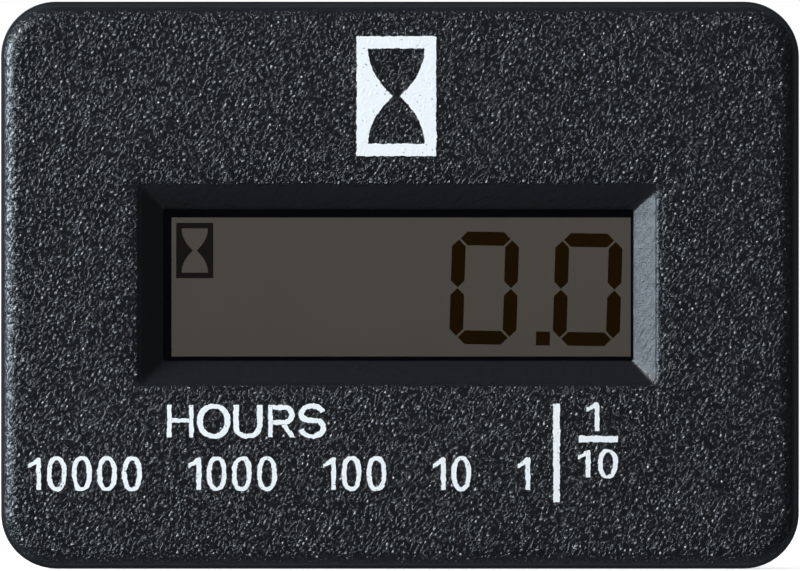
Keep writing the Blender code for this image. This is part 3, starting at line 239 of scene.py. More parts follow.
def leaned_place(tree, place, stretch):
    """Object coordinates turned about Y by the grain's lean and drawn out along the new Z."""
    turned = put(
        tree, "VectorRotate", {"rotation_type": "Y_AXIS"}, Vector=place, Angle=GRAIN_LEAN
    ).outputs["Vector"]
    return put(
        tree, "VectorMath", {"operation": "MULTIPLY"}, _0=turned, _1=(1.0, 1.0, 1 / stretch)
    ).outputs["Vector"]


def grain_height(tree, place):
    """The higher of creases and pebbles, and the same with a little of the noise on top.

    Creases are the noise between two levels, raised to a power. A pebble is one less the distance to
    its point over its reach, raised to a power, times its cell's random number raised to another.
    """
    leaned = leaned_place(tree, place, GRAIN_STRETCH)
    crumbs = noise(tree, leaned, CREASE_SIZE, 2.0)
    creases = arithmetic(tree, "POWER", ramp(tree, crumbs, *CREASE_LEVELS), CREASE_POWER)
    scale = 1 / (PEBBLE_SIZE * MM)
    smoothed = {"feature": "SMOOTH_F1"}
    voronoi = put(tree, "TexVoronoi", smoothed, Vector=leaned, Scale=scale, Smoothness=PEBBLE_BLEND)
    cells = voronoi.outputs
    nearness = ramp(tree, cells["Distance"], 0.0, PEBBLE_REACH, 1.0, 0.0)
    dome = arithmetic(tree, "POWER", nearness, PEBBLE_POWER)
    chance = put(tree, "SeparateColor", Color=cells["Color"]).outputs[0]
    pebbles = times(tree, dome, arithmetic(tree, "POWER", chance, PEBBLE_RARITY))
    peaks = arithmetic(tree, "MAXIMUM", times(tree, creases, CREASE_HEIGHT), pebbles)
    return peaks, plus(tree, peaks, times(tree, crumbs, GROUND_HEIGHT))


def smooth_height(tree, place):
    """Satin noise and broader leaning flow marks: each is a noise times its height."""
    satin = times(tree, noise(tree, place, SATIN_SIZE, 3.0), SATIN_HEIGHT)
    marks = noise(tree, leaned_place(tree, place, FLOW_STRETCH), FLOW_SIZE, 1.0)
    return plus(tree, satin, times(tree, marks, FLOW_HEIGHT))


def case_finish():
    """Black plastic: grained where an attribute says so, lower on a polished edge, satin elsewhere."""
    made, tree, shader, place = new_material("grained_black_plastic", CASE_BLACK, SATIN_ROUGHNESS)
    grained = put(tree, "Attribute", {"attribute_name": "grain"}).outputs["Fac"]
    polished = put(tree, "Attribute", {"attribute_name": "polish"}).outputs["Fac"]
    peaks, height = grain_height(tree, place)
    kept = times(tree, grained, ramp(tree, polished, 0.0, 1.0, 1.0, POLISHED_GRAIN))
    bare = times(tree, smooth_height(tree, place), ramp(tree, grained, 0.0, 1.0, 1.0, 0.0))
    bump(tree, shader, plus(tree, times(tree, height, kept), bare), GRAIN_DEPTH)
    shown = times(tree, peaks, grained)
    # Pebble tops are painted paler, a little for wear and mostly as painted glint. The tallest tips get a
    # bright painted highlight.
    worn_and_glint = mixed_colour(tree, ramp(tree, shown, *WORN_AND_GLINT_LEVELS), CASE_BLACK, CASE_WORN_AND_GLINT)
    painted_glint = mixed_colour(tree, ramp(tree, shown, *PAINTED_GLINT_LEVELS), worn_and_glint, CASE_PAINTED_GLINT)
    tree.links.new(painted_glint, shader.inputs["Base Color"])
    cloud = noise(tree, place, 0.25, 1.0)
    drift = ramp(tree, cloud, 0.3, 0.7, -ROUGHNESS_DRIFT, ROUGHNESS_DRIFT)
    rough = plus(tree, ramp(tree, grained, 0.0, 1.0, SATIN_ROUGHNESS, GRAIN_ROUGHNESS), drift)
    tree.links.new(rough, shader.inputs["Roughness"])
    return made


case_plastic = case_finish()

# %% [markdown]
# ## The front case
#
# One moulding makes the face, the flange and the body. Its section is the same all round, so it
# is drawn once, from behind the window, over the bevel and the face, round the edge, into the
# gasket's recess, along the body and back inside. Each point of the section is a rounded
# rectangle with its own size, depth and corner, and the stack of them is a grid that closes on
# itself.

# %% Sizes of the front case
case_low, case_high = box_mm("front_case")
cover_low, cover_high = box_mm("rear_cover")
FLANGE_WIDTH, FLANGE_HEIGHT = case_high[0] - case_low[0], case_high[2] - case_low[2]
BODY_WIDTH, BODY_HEIGHT = cover_high[0] - cover_low[0], cover_high[2] - cover_low[2]
FACE_Y, BODY_END_Y = case_low[1], case_high[1]
LAYER_GAP = 0.05
RECESS_Y = box_mm("panel_gasket")[0][1] - LAYER_GAP
INNER_FACE_Y = box_mm("lens_seal")[0][1] - LAYER_GAP
RIM_Y = -0.3
FLANGE_CORNER = 3.5
EDGE_RADIUS = 1.1
SIDE_DRAFT = 0.2
RIM_WIDTH, RIM_CHAMFER = 1.2, 0.2
BODY_WALL, BODY_CORNER, CAVITY_CORNER = 1.6, 2.2, 0.6
BODY_EDGE, BODY_EDGE_MIDDLE = 0.15, 0.04
APERTURE_WIDTH, APERTURE_HEIGHT, APERTURE_CORNER, APERTURE_X = 29.88, 9.64, 0.2, -0.12
BEVEL_RUN, BEVEL_DEPTH, BEVEL_CORNER = 1.41, 1.17, 0.45
BEVEL_BOW = 0.04
LAND_DEPTH, LAND_TO_BEVEL = 0.05, ((0.02, 0.0), (0.06, 0.04))
LIP_LEDGE, LIP_RUN, LIP_RISE, LIP_POWER = 0.05, 0.22, 0.15, 1.3
CORNER_STEPS, SIDE_STEPS = 16, 24
print("face at", FACE_Y, "body ends at", BODY_END_Y)


# %% The front case as stacked rounded rectangles
def rounded_ring(width, height, radius, y, middle_x=0.0):
    """Once round a rectangle whose corners are arcs, with even steps along its straight sides."""
    arc = np.linspace(0, np.pi / 2, CORNER_STEPS + 1)
    corners = []
    for quarter, (sx, sz) in enumerate(((1, 1), (-1, 1), (-1, -1), (1, -1))):
        angle = arc + quarter * np.pi / 2
        x = sx * (width / 2 - radius) + radius * np.cos(angle)
        z = sz * (height / 2 - radius) + radius * np.sin(angle)
        corners.append(np.stack([x, z], 1))
    share = np.linspace(0, 1, SIDE_STEPS + 1)[1:-1, None]
    ring = []
    for corner, following in zip(corners, corners[1:] + corners[:1]):
        ring += [corner, corner[-1] + (following[0] - corner[-1]) * share]
    return at_depth(np.concatenate(ring) + (middle_x, 0.0), y)


def grown(base, out, y, corner, middle_x=0.0):
    """A base width and height grown by out on every side, at depth y."""
    return rounded_ring(base[0] + 2 * out, base[1] + 2 * out, corner, y, middle_x)


def window_rings():
    """Straight land, slightly bowed bevel, then a small ledge and the lip where the grain begins.

    The bevel climbs by its depth times (1 + bow) s - bow s squared, where s is the share of its run.
    The lip flattens into the face: what is left to climb is its rise times (1 - s) to a power.
    """
    aperture = (APERTURE_WIDTH, APERTURE_HEIGHT)
    deep = FACE_Y + LIP_RISE + BEVEL_DEPTH
    section = [(0.0, INNER_FACE_Y), (0.0, deep + LAND_DEPTH)]
    section += [(out, deep - rise) for out, rise in LAND_TO_BEVEL]
    share = np.linspace(0.1, 1.0, 10)
    section += [(BEVEL_RUN * s, deep - BEVEL_DEPTH * s * (1 + BEVEL_BOW - BEVEL_BOW * s)) for s in share]
    foot = BEVEL_RUN + LIP_LEDGE
    section.append((foot, FACE_Y + LIP_RISE))
    share = np.linspace(0, 1, 8)[1:]
    section += [(foot + LIP_RUN * s, FACE_Y + LIP_RISE * (1 - s) ** LIP_POWER) for s in share]
    rings = []
    for out, y in section:
        corner = APERTURE_CORNER + (BEVEL_CORNER - APERTURE_CORNER) * min(out / BEVEL_RUN, 1.0)
        rings.append(grown(aperture, out, y, corner, APERTURE_X))
    return rings


def face_rings(inner, outer, steps=8):
    """Rings across the flat of the face, blending the window's lip into the flange's outline."""
    share = np.linspace(0, 1, steps + 1)[1:-1, None, None]
    return list(inner + (outer - inner) * share)


def flange_rings():
    """The edge's quarter round, the drafted side, the rim and the gasket's recess."""
    flange = (FLANGE_WIDTH, FLANGE_HEIGHT)
    section = []
    for tilt in np.linspace(0, np.pi / 2, 15):
        inset = SIDE_DRAFT + EDGE_RADIUS * (1 - np.sin(tilt))
        section.append((-inset, FACE_Y + EDGE_RADIUS * (1 - np.cos(tilt))))
    section += [(-SIDE_DRAFT / 2, (FACE_Y + RIM_Y) / 2), (0.0, RIM_Y - RIM_CHAMFER)]
    section += [(-RIM_CHAMFER * 0.3, RIM_Y - RIM_CHAMFER * 0.3), (-RIM_CHAMFER, RIM_Y)]
    section += [(-RIM_WIDTH, RIM_Y), (-RIM_WIDTH, RECESS_Y)]
    return [grown(flange, out, y, FLANGE_CORNER + out) for out, y in section]


def body_rings():
    """The body's outside with a soft edge at its end, then its wall and its cavity."""
    body = (BODY_WIDTH, BODY_HEIGHT)
    edge = ((0.0, BODY_EDGE), (BODY_EDGE_MIDDLE, BODY_EDGE_MIDDLE), (BODY_EDGE, 0.0))
    section = [(0.0, RECESS_Y)] + [(-inset, BODY_END_Y - before) for inset, before in edge]
    rings = [grown(body, out, y, BODY_CORNER + out) for out, y in section]
    cavity = (BODY_WIDTH - 2 * BODY_WALL, BODY_HEIGHT - 2 * BODY_WALL)
    return rings + [grown(cavity, 0.0, y, CAVITY_CORNER) for y in (BODY_END_Y, INNER_FACE_Y)]


window, flange = window_rings(), flange_rings()
case_grid = np.array(window + face_rings(window[-1], flange[0]) + flange + body_rings())
case_skin = skin(case_grid, wrap_rows=True)
front_case = new_piece("case_front", [case_skin], case_plastic, ["front_case"], sharp=25)

# %% [markdown]
# The grain fades out near the outline, a little further in at the top and the right. It is low on
# the window's lip, and absent from the window and from everything behind the face. That is a
# number at every point. A second number says where handling has polished the edge.

# %% Where the grain is
LEFT_STOP, RIGHT_STOP, BOTTOM_STOP, TOP_STOP = 0.22, 0.55, 0.3, 0.58
GRAIN_FADE = 0.12
LIP_GRAIN, LIP_GRAIN_END = 0.3, 0.6
WINDOW_CLEAR = 0.01
POLISH_START = 0.2


def grain_mask(points):
    """Nought to one: how far a point lies inside the grained part of the face and its edge."""
    x, y, z = points.T
    half_width, half_height = FLANGE_WIDTH / 2, FLANGE_HEIGHT / 2
    inside = np.minimum.reduce([
        half_width + x - LEFT_STOP,
        half_width - x - RIGHT_STOP,
        half_height + z - BOTTOM_STOP,
        half_height - z - TOP_STOP,
    ])
    mask = np.clip(inside / GRAIN_FADE, 0, 1)
    outside_x = np.abs(x - APERTURE_X) - APERTURE_WIDTH / 2
    outside_z = np.abs(z) - APERTURE_HEIGHT / 2
    from_window = np.maximum(outside_x, outside_z) - BEVEL_RUN - LIP_LEDGE
    mask = np.where(from_window < LIP_RUN * LIP_GRAIN_END, mask * LIP_GRAIN, mask)
    mask[(from_window < WINDOW_CLEAR) | (y > FACE_Y + EDGE_RADIUS)] = 0
    return mask


def edge_polish(points):
    """Nought on the flat of the face, one where the left or right edge is well rounded off."""
    depth = points[:, 1] - FACE_Y
    at_side = np.abs(points[:, 0]) > FLANGE_WIDTH / 2 - 2 * EDGE_RADIUS
    return np.clip(depth / (EDGE_RADIUS * POLISH_START), 0, 1) * at_side


mask = grain_mask(case_grid.reshape(-1, 3))
polish = edge_polish(case_grid.reshape(-1, 3))
for name, values in (("grain", mask), ("polish", polish)):
    attribute = front_case.data.attributes.new(name, "FLOAT", "POINT")
    attribute.data.foreach_set("value", values.astype(np.float32))
print("grained points:", int((mask > 0.5).sum()), "of", len(mask))

# %% [markdown]
# ## White print
#
# Silk-screened ink is a thin film on the grain. Its edges wander by a few hundredths of a
# millimetre where the ink bridges the pebbles, and a few pinholes show. Straight and round
# strokes are ribbons: a centre line with the pen's half width to each side. Where a ribbon ends
# against another, its end is square to the stem, so the two meet without crossing.

# %% White ink
INK_FRONT, INK_BACK = FACE_Y - 0.03, FACE_Y - 0.005
INK_JITTER, INK_WANDER, INK_END_JITTER = 0.017, 0.016, 0.4
INK_STEP = 0.09
INK_WHITE, INK_WORN_THROUGH = (0.87, 0.92, 0.95), (0.12, 0.13, 0.14)
PINHOLE_SIZE, PINHOLE_LEVELS = 0.17, (0.735, 0.76)
INK_GRAIN = 0.1


def ink_finish():
    """Flat white with pinholes, and the grain showing faintly through."""
    made, tree, shader, place = new_material("white_ink", INK_WHITE, 0.55)
    cloud = noise(tree, place, 0.6)
    pinholes = ramp(tree, noise(tree, place, PINHOLE_SIZE, 1.0), *PINHOLE_LEVELS)
    tint = mixed_colour(tree, pinholes, INK_WHITE, INK_WORN_THROUGH)
    tree.links.new(tint, shader.inputs["Base Color"])
    tree.links.new(ramp(tree, cloud, 0.3, 0.7, 0.48, 0.62), shader.inputs["Roughness"])
    bump(tree, shader, grain_height(tree, place)[1], GRAIN_DEPTH * INK_GRAIN)
    return made


white_ink = ink_finish()


def resampled(line, closed=False):
    """Points at even steps of about INK_STEP along a line of (x, z) points."""
    line = np.asarray(line, float)
    if closed:
        line = np.vstack([line, line[:1]])
    along = np.concatenate([[0], np.cumsum(np.hypot(*np.diff(line, axis=0).T))])
    count = max(int(np.ceil(along[-1] / INK_STEP)), 2)
    at = np.linspace(0, along[-1], count + 1)
    points = np.stack([np.interp(at, along, line[:, 0]), np.interp(at, along, line[:, 1])], 1)
    return points[:-1] if closed else points


def wander(points):
    """Moves points a little, as ink creeps over grain: a slow drift and a small jitter, least at the ends."""
    count = len(points)
    knots = np.linspace(0, 1, count // 3 + 2)
    drift = rng.normal(0, INK_WANDER, (len(knots), 2))
    drift[[0, -1]] = 0
    along = np.linspace(0, 1, count)
    slow = np.stack([np.interp(along, knots, drift[:, k]) for k in range(2)], 1)
    jitter = rng.normal(0, INK_JITTER, points.shape)
    jitter[[0, -1]] *= INK_END_JITTER
    return points + slow + jitter


def film(first, second, closed=False):
    """A thin closed film between two lines of the same number of (x, z) points."""
    corners = ((first, INK_FRONT), (first, INK_BACK), (second, INK_BACK), (second, INK_FRONT))
    return skin(np.stack([at_depth(line, y) for line, y in corners], 1), wrap_rows=closed)


def ribbon(line, width, closed=False, swell=0.0):
    """A stroke: each side is the centre line moved by half the width along its normal.

    Where the line runs upright, the width is 1 + swell times as much.
    """
    centre = resampled(line, closed)
    along = np.roll(centre, -1, 0) - np.roll(centre, 1, 0) if closed else np.gradient(centre, axis=0)
    normal = np.stack([-along[:, 1], along[:, 0]], 1) / np.hypot(*along.T)[:, None]
    half = width / 2 * (1 + swell * np.abs(normal[:, :1])) * normal
    return film(wander(centre + half), wander(centre - half), closed)


def arc_line(centre, radii, start, end, power=2.0, steps=40):
    """Part of a superellipse between two angles in degrees: power 2 is an ellipse."""
    angle = np.radians(np.linspace(start, end, steps + 1))
    c, s = np.cos(angle), np.sin(angle)
    x = centre[0] + radii[0] * np.sign(c) * np.abs(c) ** (2 / power)
    z = centre[1] + radii[1] * np.sign(s) * np.abs(s) ** (2 / power)
    return np.stack([x, z], 1)


# %% [markdown]
# The unit word and the numbers are plain sans-serif capitals and figures. Each is a short list
# of strokes inside a box of its own width and height, and a word sets them side by side.

# %% Letters and figures as strokes
PEN = 0.285
BOWL_PEN, NOUGHT_PEN, BOWL_SWELL = 1.07, 0.85, 0.24
OVERSHOOT = 0.08


def straight(*points):
    """A line through points."""
    return np.array(points, float)


def letter_h(w, h, pen):
    """Two stems and a bar that meets them squarely."""
    middle = 0.52 * h
    stems = [ribbon(straight((x, 0), (x, h)), pen) for x in (pen / 2, w - pen / 2)]
    return stems + [ribbon(straight((pen, middle), (w - pen, middle)), pen * 0.95)]


def round_letter(w, h, pen, power):
    """One closed stroke round a superellipse, a little heavier at its sides: the letter O, or a nought."""
    radii = ((w - pen) / 2, (h - pen) / 2 + OVERSHOOT)
    return [ribbon(arc_line((w / 2, h / 2), radii, 0, 360, power, 80)[:-1], pen, True, BOWL_SWELL)]


def letter_u(w, h, pen):
    """Down one side, round the bowl, up the other."""
    bowl = 0.38 * h
    turn = arc_line((w / 2, bowl), ((w - pen) / 2, bowl - pen / 2 + OVERSHOOT), 180, 360, 2.2)
    line = np.vstack([[(pen / 2, h)], turn, [(w - pen / 2, h)]])
    return [ribbon(line, pen, swell=BOWL_SWELL)]


def letter_r(w, h, pen):
    """A stem, a bowl that leaves it at the top and comes back below the middle, and a leg."""
    top, low = h - pen / 2, 0.46 * h
    radius = (top - low) / 2
    turn = arc_line((w - pen / 2 - radius - 0.05, (top + low) / 2), (radius, radius), 90, -90)
    bowl = np.vstack([[(pen, top)], turn, [(pen, low)]])
    hip, toe = w * 0.6, w - pen * 0.5
    tops = (hip - pen * 0.6, hip + pen * 0.6)
    leg = film(*(wander(resampled(straight((x, low - pen / 2), (x + toe - hip, 0)))) for x in tops))
    return [ribbon(straight((pen / 2, 0), (pen / 2, h)), pen), ribbon(bowl, pen, swell=BOWL_SWELL), leg]


def letter_s(w, h, pen):
    """Two bowls joined by a slanting spine."""
    rx = (w - pen) / 2
    upper, lower = (h - pen) * 0.235 + OVERSHOOT, (h - pen) * 0.265 + OVERSHOOT
    top = arc_line((w / 2, h - pen / 2 + OVERSHOOT - upper), (rx * 0.93, upper), 12, 232)
    foot = arc_line((w / 2, pen / 2 - OVERSHOOT + lower), (rx, lower), 52, -168)
    return [ribbon(np.vstack([top, foot]), pen, swell=BOWL_SWELL)]


def figure_one(w, h, pen):
    """A stem with a flag that falls away from its top: both sides turn at the same shares of the way."""
    stem = w - pen
    outer = straight((0, h * 0.80), (stem * 0.55, h * 0.88), (stem, h), (w, h), (w, 0))
    inner = straight((0, h * 0.665), (stem * 0.6, h * 0.745), (stem, h * 0.8), (stem, h * 0.78), (stem, 0))
    turns, share = (0.0, 0.22, 0.38, 0.45, 1.0), np.linspace(0, 1, 24)
    sides = [[np.interp(share, turns, part) for part in side.T] for side in (outer, inner)]
    return [film(*(wander(np.stack(side, 1)) for side in sides))]


GLYPHS = {
    "H": (letter_h, 1.68, -0.02),
    "O": (lambda w, h, pen: round_letter(w, h, pen * BOWL_PEN, 2.15), 2.055, -0.03),
    "U": (letter_u, 1.8, 0.12),
    "R": (letter_r, 1.69, -0.04),
    "S": (letter_s, 1.73, 0.0),
    "1": (figure_one, 0.8, 0.0),
    "0": (lambda w, h, pen: round_letter(w, h, pen * NOUGHT_PEN, 2.3), 1.195, 0.0),
    " ": (None, 2.18, 0.0),
}


def set_line(text, left, base, height, pen=PEN, gap=0.27):
    """Skins of a line of text whose first letter starts at left and stands on base."""
    skins, at = [], left
    for letter in text:
        draw, width, after = GLYPHS[letter]
        if draw:
            for points, faces in draw(width, height, pen):
                skins.append((points + (at, 0.0, base), faces))
        at += width + gap + after
    print(f"{text!r} ends at {at - gap:.2f} mm")
    return skins


# %% [markdown]
# The unit word stands over a row of place values, and an upright rule parts both from the
# fraction that belongs to the last figure of the display.

# %% Print the words and numbers
CAP_HEIGHT = 2.05
ONE_HEIGHT, TEN_HEIGHT = 1.83, 1.73
printed = {
    "unit_word": set_line("HOURS", -14.785, -9.66, CAP_HEIGHT),
    "place_values": set_line("10000 1000 100 10 1", -23.6, -13.0, CAP_HEIGHT, gap=0.4),
    "fraction_figures": set_line("1", 11.85, -9.27, ONE_HEIGHT)
    + set_line("10", 11.3, -12.21, TEN_HEIGHT, gap=0.5),
}
for name, skins in printed.items():
    new_piece(name, skins, white_ink)
BAR_MOVES = {"printed_rule": (-0.015, 0.12, -0.06, 0), "printed_fraction_line": (0, 0.04, -0.02, 0.065)}


def bar_film(node, moves):
    """A printed bar with wandering edges: the node's box, its left, bottom, right and top moved."""
    low, high = box_mm(node)
    low[[0, 2]] += moves[:2]
    high[[0, 2]] += moves[2:]
    size, middle = (high - low)[[0, 2]], ((low + high) / 2)[[0, 2]]
    long_way = np.array([1.0, 0.0]) if size[0] > size[1] else np.array([0.0, 1.0])
    ends = [middle + side * long_way * size.max() / 2 for side in (-1, 1)]
    return ribbon(np.array(ends), size.min())


for node, moves in BAR_MOVES.items():
    name = "ink_" + node.removeprefix("printed_")
    new_piece(name, [bar_film(node, moves)], white_ink, [node])

# %% [markdown]
# ## The hourglass sign
#
# The sign is a white plate with an hourglass left bare. Each side of the glass leaves the waist
# at a slant and stands almost upright at its end: what it lacks of its full reach is a power of
# the distance from that end. The same curve, at another size, serves the display's sign.


# %% Hourglass curves
def hourglass_halves(width, height, glass_width, glass_height, waist, power, steps):
    """Plate and glass outlines of the same number of points, once round, as (x, z) arrays."""
    height_share = np.linspace(-1, 1, 2 * steps + 1)
    reach = waist / 2 + (glass_width - waist) / 2 * (1 - (1 - np.abs(height_share)) ** power)
    right = np.stack([reach, height_share * glass_height / 2], 1)
    glass = np.vstack([right, right[::-1] * (-1, 1)])
    plate = np.stack([np.sign(glass[:, 0]) * width / 2, glass[:, 1] * height / glass_height], 1)
    return plate, glass


def with_end_points(plate, glass, steps, count):
    """Adds points along the straight top and bottom so that those edges can wander too."""
    share = np.linspace(0, 1, count)[1:-1, None]
    turn = 2 * steps + 1
    lines = []
    for line in (plate, glass):
        top = line[turn - 1] + (line[turn] - line[turn - 1]) * share
        bottom = line[-1] + (line[0] - line[-1]) * share
        lines.append(np.vstack([line[:turn], top, line[turn:], bottom]))
    return lines


SIGN_MOVE = (0.0, -0.025)
GLASS_SIZE, GLASS_WAIST, GLASS_POWER = (3.57, 6.05), 0.42, 2.1
SIGN_STEPS, END_POINTS = 44, 56
low, high = box_mm("printed_symbol")
size, middle = (high - low)[[0, 2]], ((low + high) / 2)[[0, 2]] + SIGN_MOVE
plate, glass = hourglass_halves(*size, *GLASS_SIZE, GLASS_WAIST, GLASS_POWER, SIGN_STEPS)
plate, glass = with_end_points(plate, glass, SIGN_STEPS, END_POINTS)
sign_film = film(wander(plate) + middle, wander(glass) + middle, closed=True)
new_piece("ink_hourglass", [sign_film], white_ink, ["printed_symbol"])

# %% [markdown]
# ## The display
#
# A reflective liquid-crystal display is a sandwich: clear window, black mask, grey polarising
# film, two glasses and a dull reflector at the back. Light goes in and comes out through all of
# them, so they look dark and slightly warm. Here the front film carries that grey, opaque, with
# the liquid crystal just in front of it, which spares the render many bounces. The window and the
# glasses are mostly transparent with a little gloss.


# %% Clear layers
def clear_finish(name, tint, gloss, roughness):
    """A see-through sheet: transparent, with a Fresnel share of gloss over it."""
    made = bpy.data.materials.new(name)
    made.use_nodes = True
    tree = made.node_tree
    tree.nodes.clear()
    clear = put(tree, "BsdfTransparent", Color=(*tint, 1.0)).outputs["BSDF"]
    shine = put(tree, "BsdfGlossy", Roughness=roughness).outputs["BSDF"]
    fresnel = put(tree, "Fresnel", IOR=1.45).outputs["Fac"]
    share = times(tree, fresnel, gloss)
    blend = put(tree, "MixShader", Fac=share, _1=clear, _2=shine)
    put(tree, "OutputMaterial", Surface=blend.outputs["Shader"])
    return made


def carry_over(node, material):
    """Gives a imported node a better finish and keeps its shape."""
    nodes[node].data.materials.clear()
    nodes[node].data.materials.append(material)


carry_over("window_lens", clear_finish("window_lens_plastic", (0.97, 0.98, 0.98), 0.5, 0.12))
carry_over("front_glass", clear_finish("front_glass_sheet", (0.97, 0.98, 0.97), 0.15, 0.1))


def toned_finish(name, low, high, cut, blob, detail, roughness, specular):
    """A colour that drifts between two tones over soft blobs, which are cut off at both ends."""
    made, tree, shader, place = new_material(name, low, roughness, specular=specular)
    share = ramp(tree, noise(tree, place, blob, detail), cut, 1 - cut)
    tree.links.new(mixed_colour(tree, share, low, high), shader.inputs["Base Color"])
    return made


WARM_GREY = (0.143, 0.124, 0.107), (0.147, 0.126, 0.109)
reflecting_film = toned_finish("reflecting_film", *WARM_GREY, 0.35, 5.0, 1.0, 0.65, 0.2)
carry_over("rear_reflector", reflecting_film)
carry_over("front_polariser", reflecting_film)
carry_over("rear_glass", clear_finish("rear_glass_sheet", (0.98, 0.98, 0.97), 0.1, 0.1))

# %% [markdown]
# The figures are liquid crystal, nearly black and a little brown where it is switched on. Each
# nought is six strokes with pointed ends, and the outer corners of the strokes are rounded. The
# display sits a little turned in its case, so all figures share one small slant and tilt.

# %% Figures of the display
FILM_FRONT = box_mm("front_polariser")[0][1]
CRYSTAL_FRONT, CRYSTAL_BACK = FILM_FRONT - 0.04, FILM_FRONT - 0.01
FIGURE_WIDTH, FIGURE_HEIGHT, FIGURE_PEN = 4.27, 7.17, 0.875
FIGURE_SLANT, FIGURE_TILT = np.radians(1.75), np.radians(-0.95)
FLAT_GAP, SHOULDER_GAP, WAIST_GAP = 0.11, 0.08, 0.025
FIGURE_CENTRES = ((5.36, -0.19), (11.945, -0.29))
POINT_CENTRE, POINT_SIDE = (9.1, -3.4), 0.885


def crystal_film(outline):
    """A thin flat plate of liquid crystal with the outline given as (x, z) points."""
    return skin(np.stack([at_depth(outline, y) for y in (CRYSTAL_FRONT, CRYSTAL_BACK)]))


def stroke_outline(length, pen, rounding=0.16):
    """A bar with 45 degree points at both ends. Its two upper corners are rounded."""
    end, tip = length / 2, pen / 2
    corner = end - tip
    run = rounding * np.tan(np.radians(22.5)) * 2.0
    bend = ((0.7, -0.7), (0.25, -0.1), (-0.8, 0.0))
    right = [(end, 0.0)] + [(corner + run * x, tip + run * z) for x, z in bend]
    left = [(-x, z) for x, z in reversed(right)]
    return np.array(right + left + [(-corner, -tip), (corner, -tip)])


def nought_outlines():
    """Six strokes about the figure's middle: top and bottom, and two on each side."""
    across, up = FIGURE_WIDTH - FIGURE_PEN, (FIGURE_HEIGHT - FIGURE_PEN) / 2
    flat = stroke_outline(across - 2 * FLAT_GAP, FIGURE_PEN)
    upright = stroke_outline(up - SHOULDER_GAP - WAIST_GAP, FIGURE_PEN) + ((WAIST_GAP - SHOULDER_GAP) / 2, 0)
    outlines = []
    for side in (-1, 1):
        outlines.append(flat * (1, side) + (0, side * up))
        for half in (-1, 1):
            turned = upright[:, ::-1] * (side, half) + (side * across / 2, half * up / 2)
            outlines.append(turned)
    return outlines


def seated(outline, centre):
    """Slants an outline, tilts it and moves it to its place."""
    x, z = np.asarray(outline, float).T
    x = x + z * np.tan(FIGURE_SLANT)
    return np.stack([x + centre[0], z + x * np.tan(FIGURE_TILT) + centre[1]], 1)


CRYSTAL_BROWN = (0.0195, 0.0095, 0.0009), (0.0225, 0.0108, 0.0012)
liquid_crystal = toned_finish("dark_liquid_crystal", *CRYSTAL_BROWN, 0.0, 1.0, 2.0, 0.5, 0.1)
sign_crystal = new_material("grey_liquid_crystal", (0.0175, 0.0155, 0.0145), 0.5, specular=0.1)[0]
half = POINT_SIDE / 2
point = np.array([(half, half), (-half, half), (-half, -half), (half, -half)])
strokes = nought_outlines()
figure_skins = [crystal_film(seated(stroke, centre)) for centre in FIGURE_CENTRES for stroke in strokes]
figure_skins.append(crystal_film(seated(point, POINT_CENTRE)))
new_piece("display_figures", figure_skins, liquid_crystal)

# %% The display's own hourglass sign
SMALL_SIGN, SMALL_GLASS, SMALL_WAIST, SMALL_STEPS = (2.36, 3.52), (1.67, 2.82), 0.24, 18
SMALL_CENTRE = (-13.065, 2.2)
plate, glass = hourglass_halves(*SMALL_SIGN, *SMALL_GLASS, SMALL_WAIST, GLASS_POWER, SMALL_STEPS)
corners = ((plate, CRYSTAL_FRONT), (plate, CRYSTAL_BACK), (glass, CRYSTAL_BACK), (glass, CRYSTAL_FRONT))
rings = [at_depth(line + SMALL_CENTRE, y) for line, y in corners]
new_piece("display_hourglass", [skin(np.stack(rings), wrap_rows=True)], sign_crystal)

# %% [markdown]
# ## Finishes of the other pieces
#
# The rubber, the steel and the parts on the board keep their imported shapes. A table gives each
# finish its colours, its roughness, the size of its mottling and the depth of its bump, and one
# function turns a row of it into a material.

# %% Plain finishes from a table
FINISHES = {
    "black_rubber": ((0.016, 0.016, 0.017), (0.024, 0.024, 0.025), 0.7, 0.0, 0.15, 0.006),
    "mask_black": ((0.002, 0.002, 0.003), (0.004, 0.004, 0.005), 0.6, 0.0, 0.5, 0.0),
    "holder_plastic": ((0.024, 0.024, 0.026), (0.032, 0.032, 0.034), 0.45, 0.0, 0.4, 0.004),
    "contact_rubber": ((0.12, 0.12, 0.13), (0.2, 0.2, 0.21), 0.6, 0.0, 0.1, 0.003),
    "board_green": ((0.012, 0.13, 0.045), (0.02, 0.19, 0.07), 0.35, 0.0, 0.8, 0.004),
    "chip_epoxy": ((0.02, 0.02, 0.022), (0.03, 0.03, 0.032), 0.55, 0.0, 0.05, 0.002),
    "tinned_metal": ((0.58, 0.58, 0.6), (0.7, 0.7, 0.7), 0.28, 1.0, 0.3, 0.002),
    "sensor_shell": ((0.06, 0.06, 0.07), (0.085, 0.085, 0.09), 0.4, 0.0, 0.5, 0.003),
    "capacitor_tan": ((0.4, 0.27, 0.14), (0.5, 0.35, 0.2), 0.5, 0.0, 0.1, 0.002),
    "resistor_black": ((0.025, 0.025, 0.03), (0.036, 0.036, 0.04), 0.35, 0.0, 0.2, 0.001),
    "cell_steel": ((0.66, 0.66, 0.66), (0.76, 0.76, 0.75), 0.24, 1.0, 1.0, 0.001),
    "pad_foam": ((0.06, 0.06, 0.07), (0.12, 0.12, 0.13), 0.9, 0.0, 0.12, 0.03),
    "zinc_steel": ((0.5, 0.52, 0.56), (0.66, 0.67, 0.68), 0.34, 1.0, 0.9, 0.003),
}


def plain_finish(name):
    """A finish whose colour and roughness vary between two values over soft blobs."""
    low, high, roughness, metallic, blob, depth = FINISHES[name]
    made, tree, shader, place = new_material(name, low, roughness, metallic)
    cloud = noise(tree, place, blob, 4.0)
    tree.links.new(mixed_colour(tree, ramp(tree, cloud, 0.35, 0.65), low, high), shader.inputs["Base Color"])
    rough = ramp(tree, cloud, 0.3, 0.7, roughness * 0.85, roughness * 1.15)
    tree.links.new(rough, shader.inputs["Roughness"])
    if depth:
        bump(tree, shader, cloud, depth)
    return made


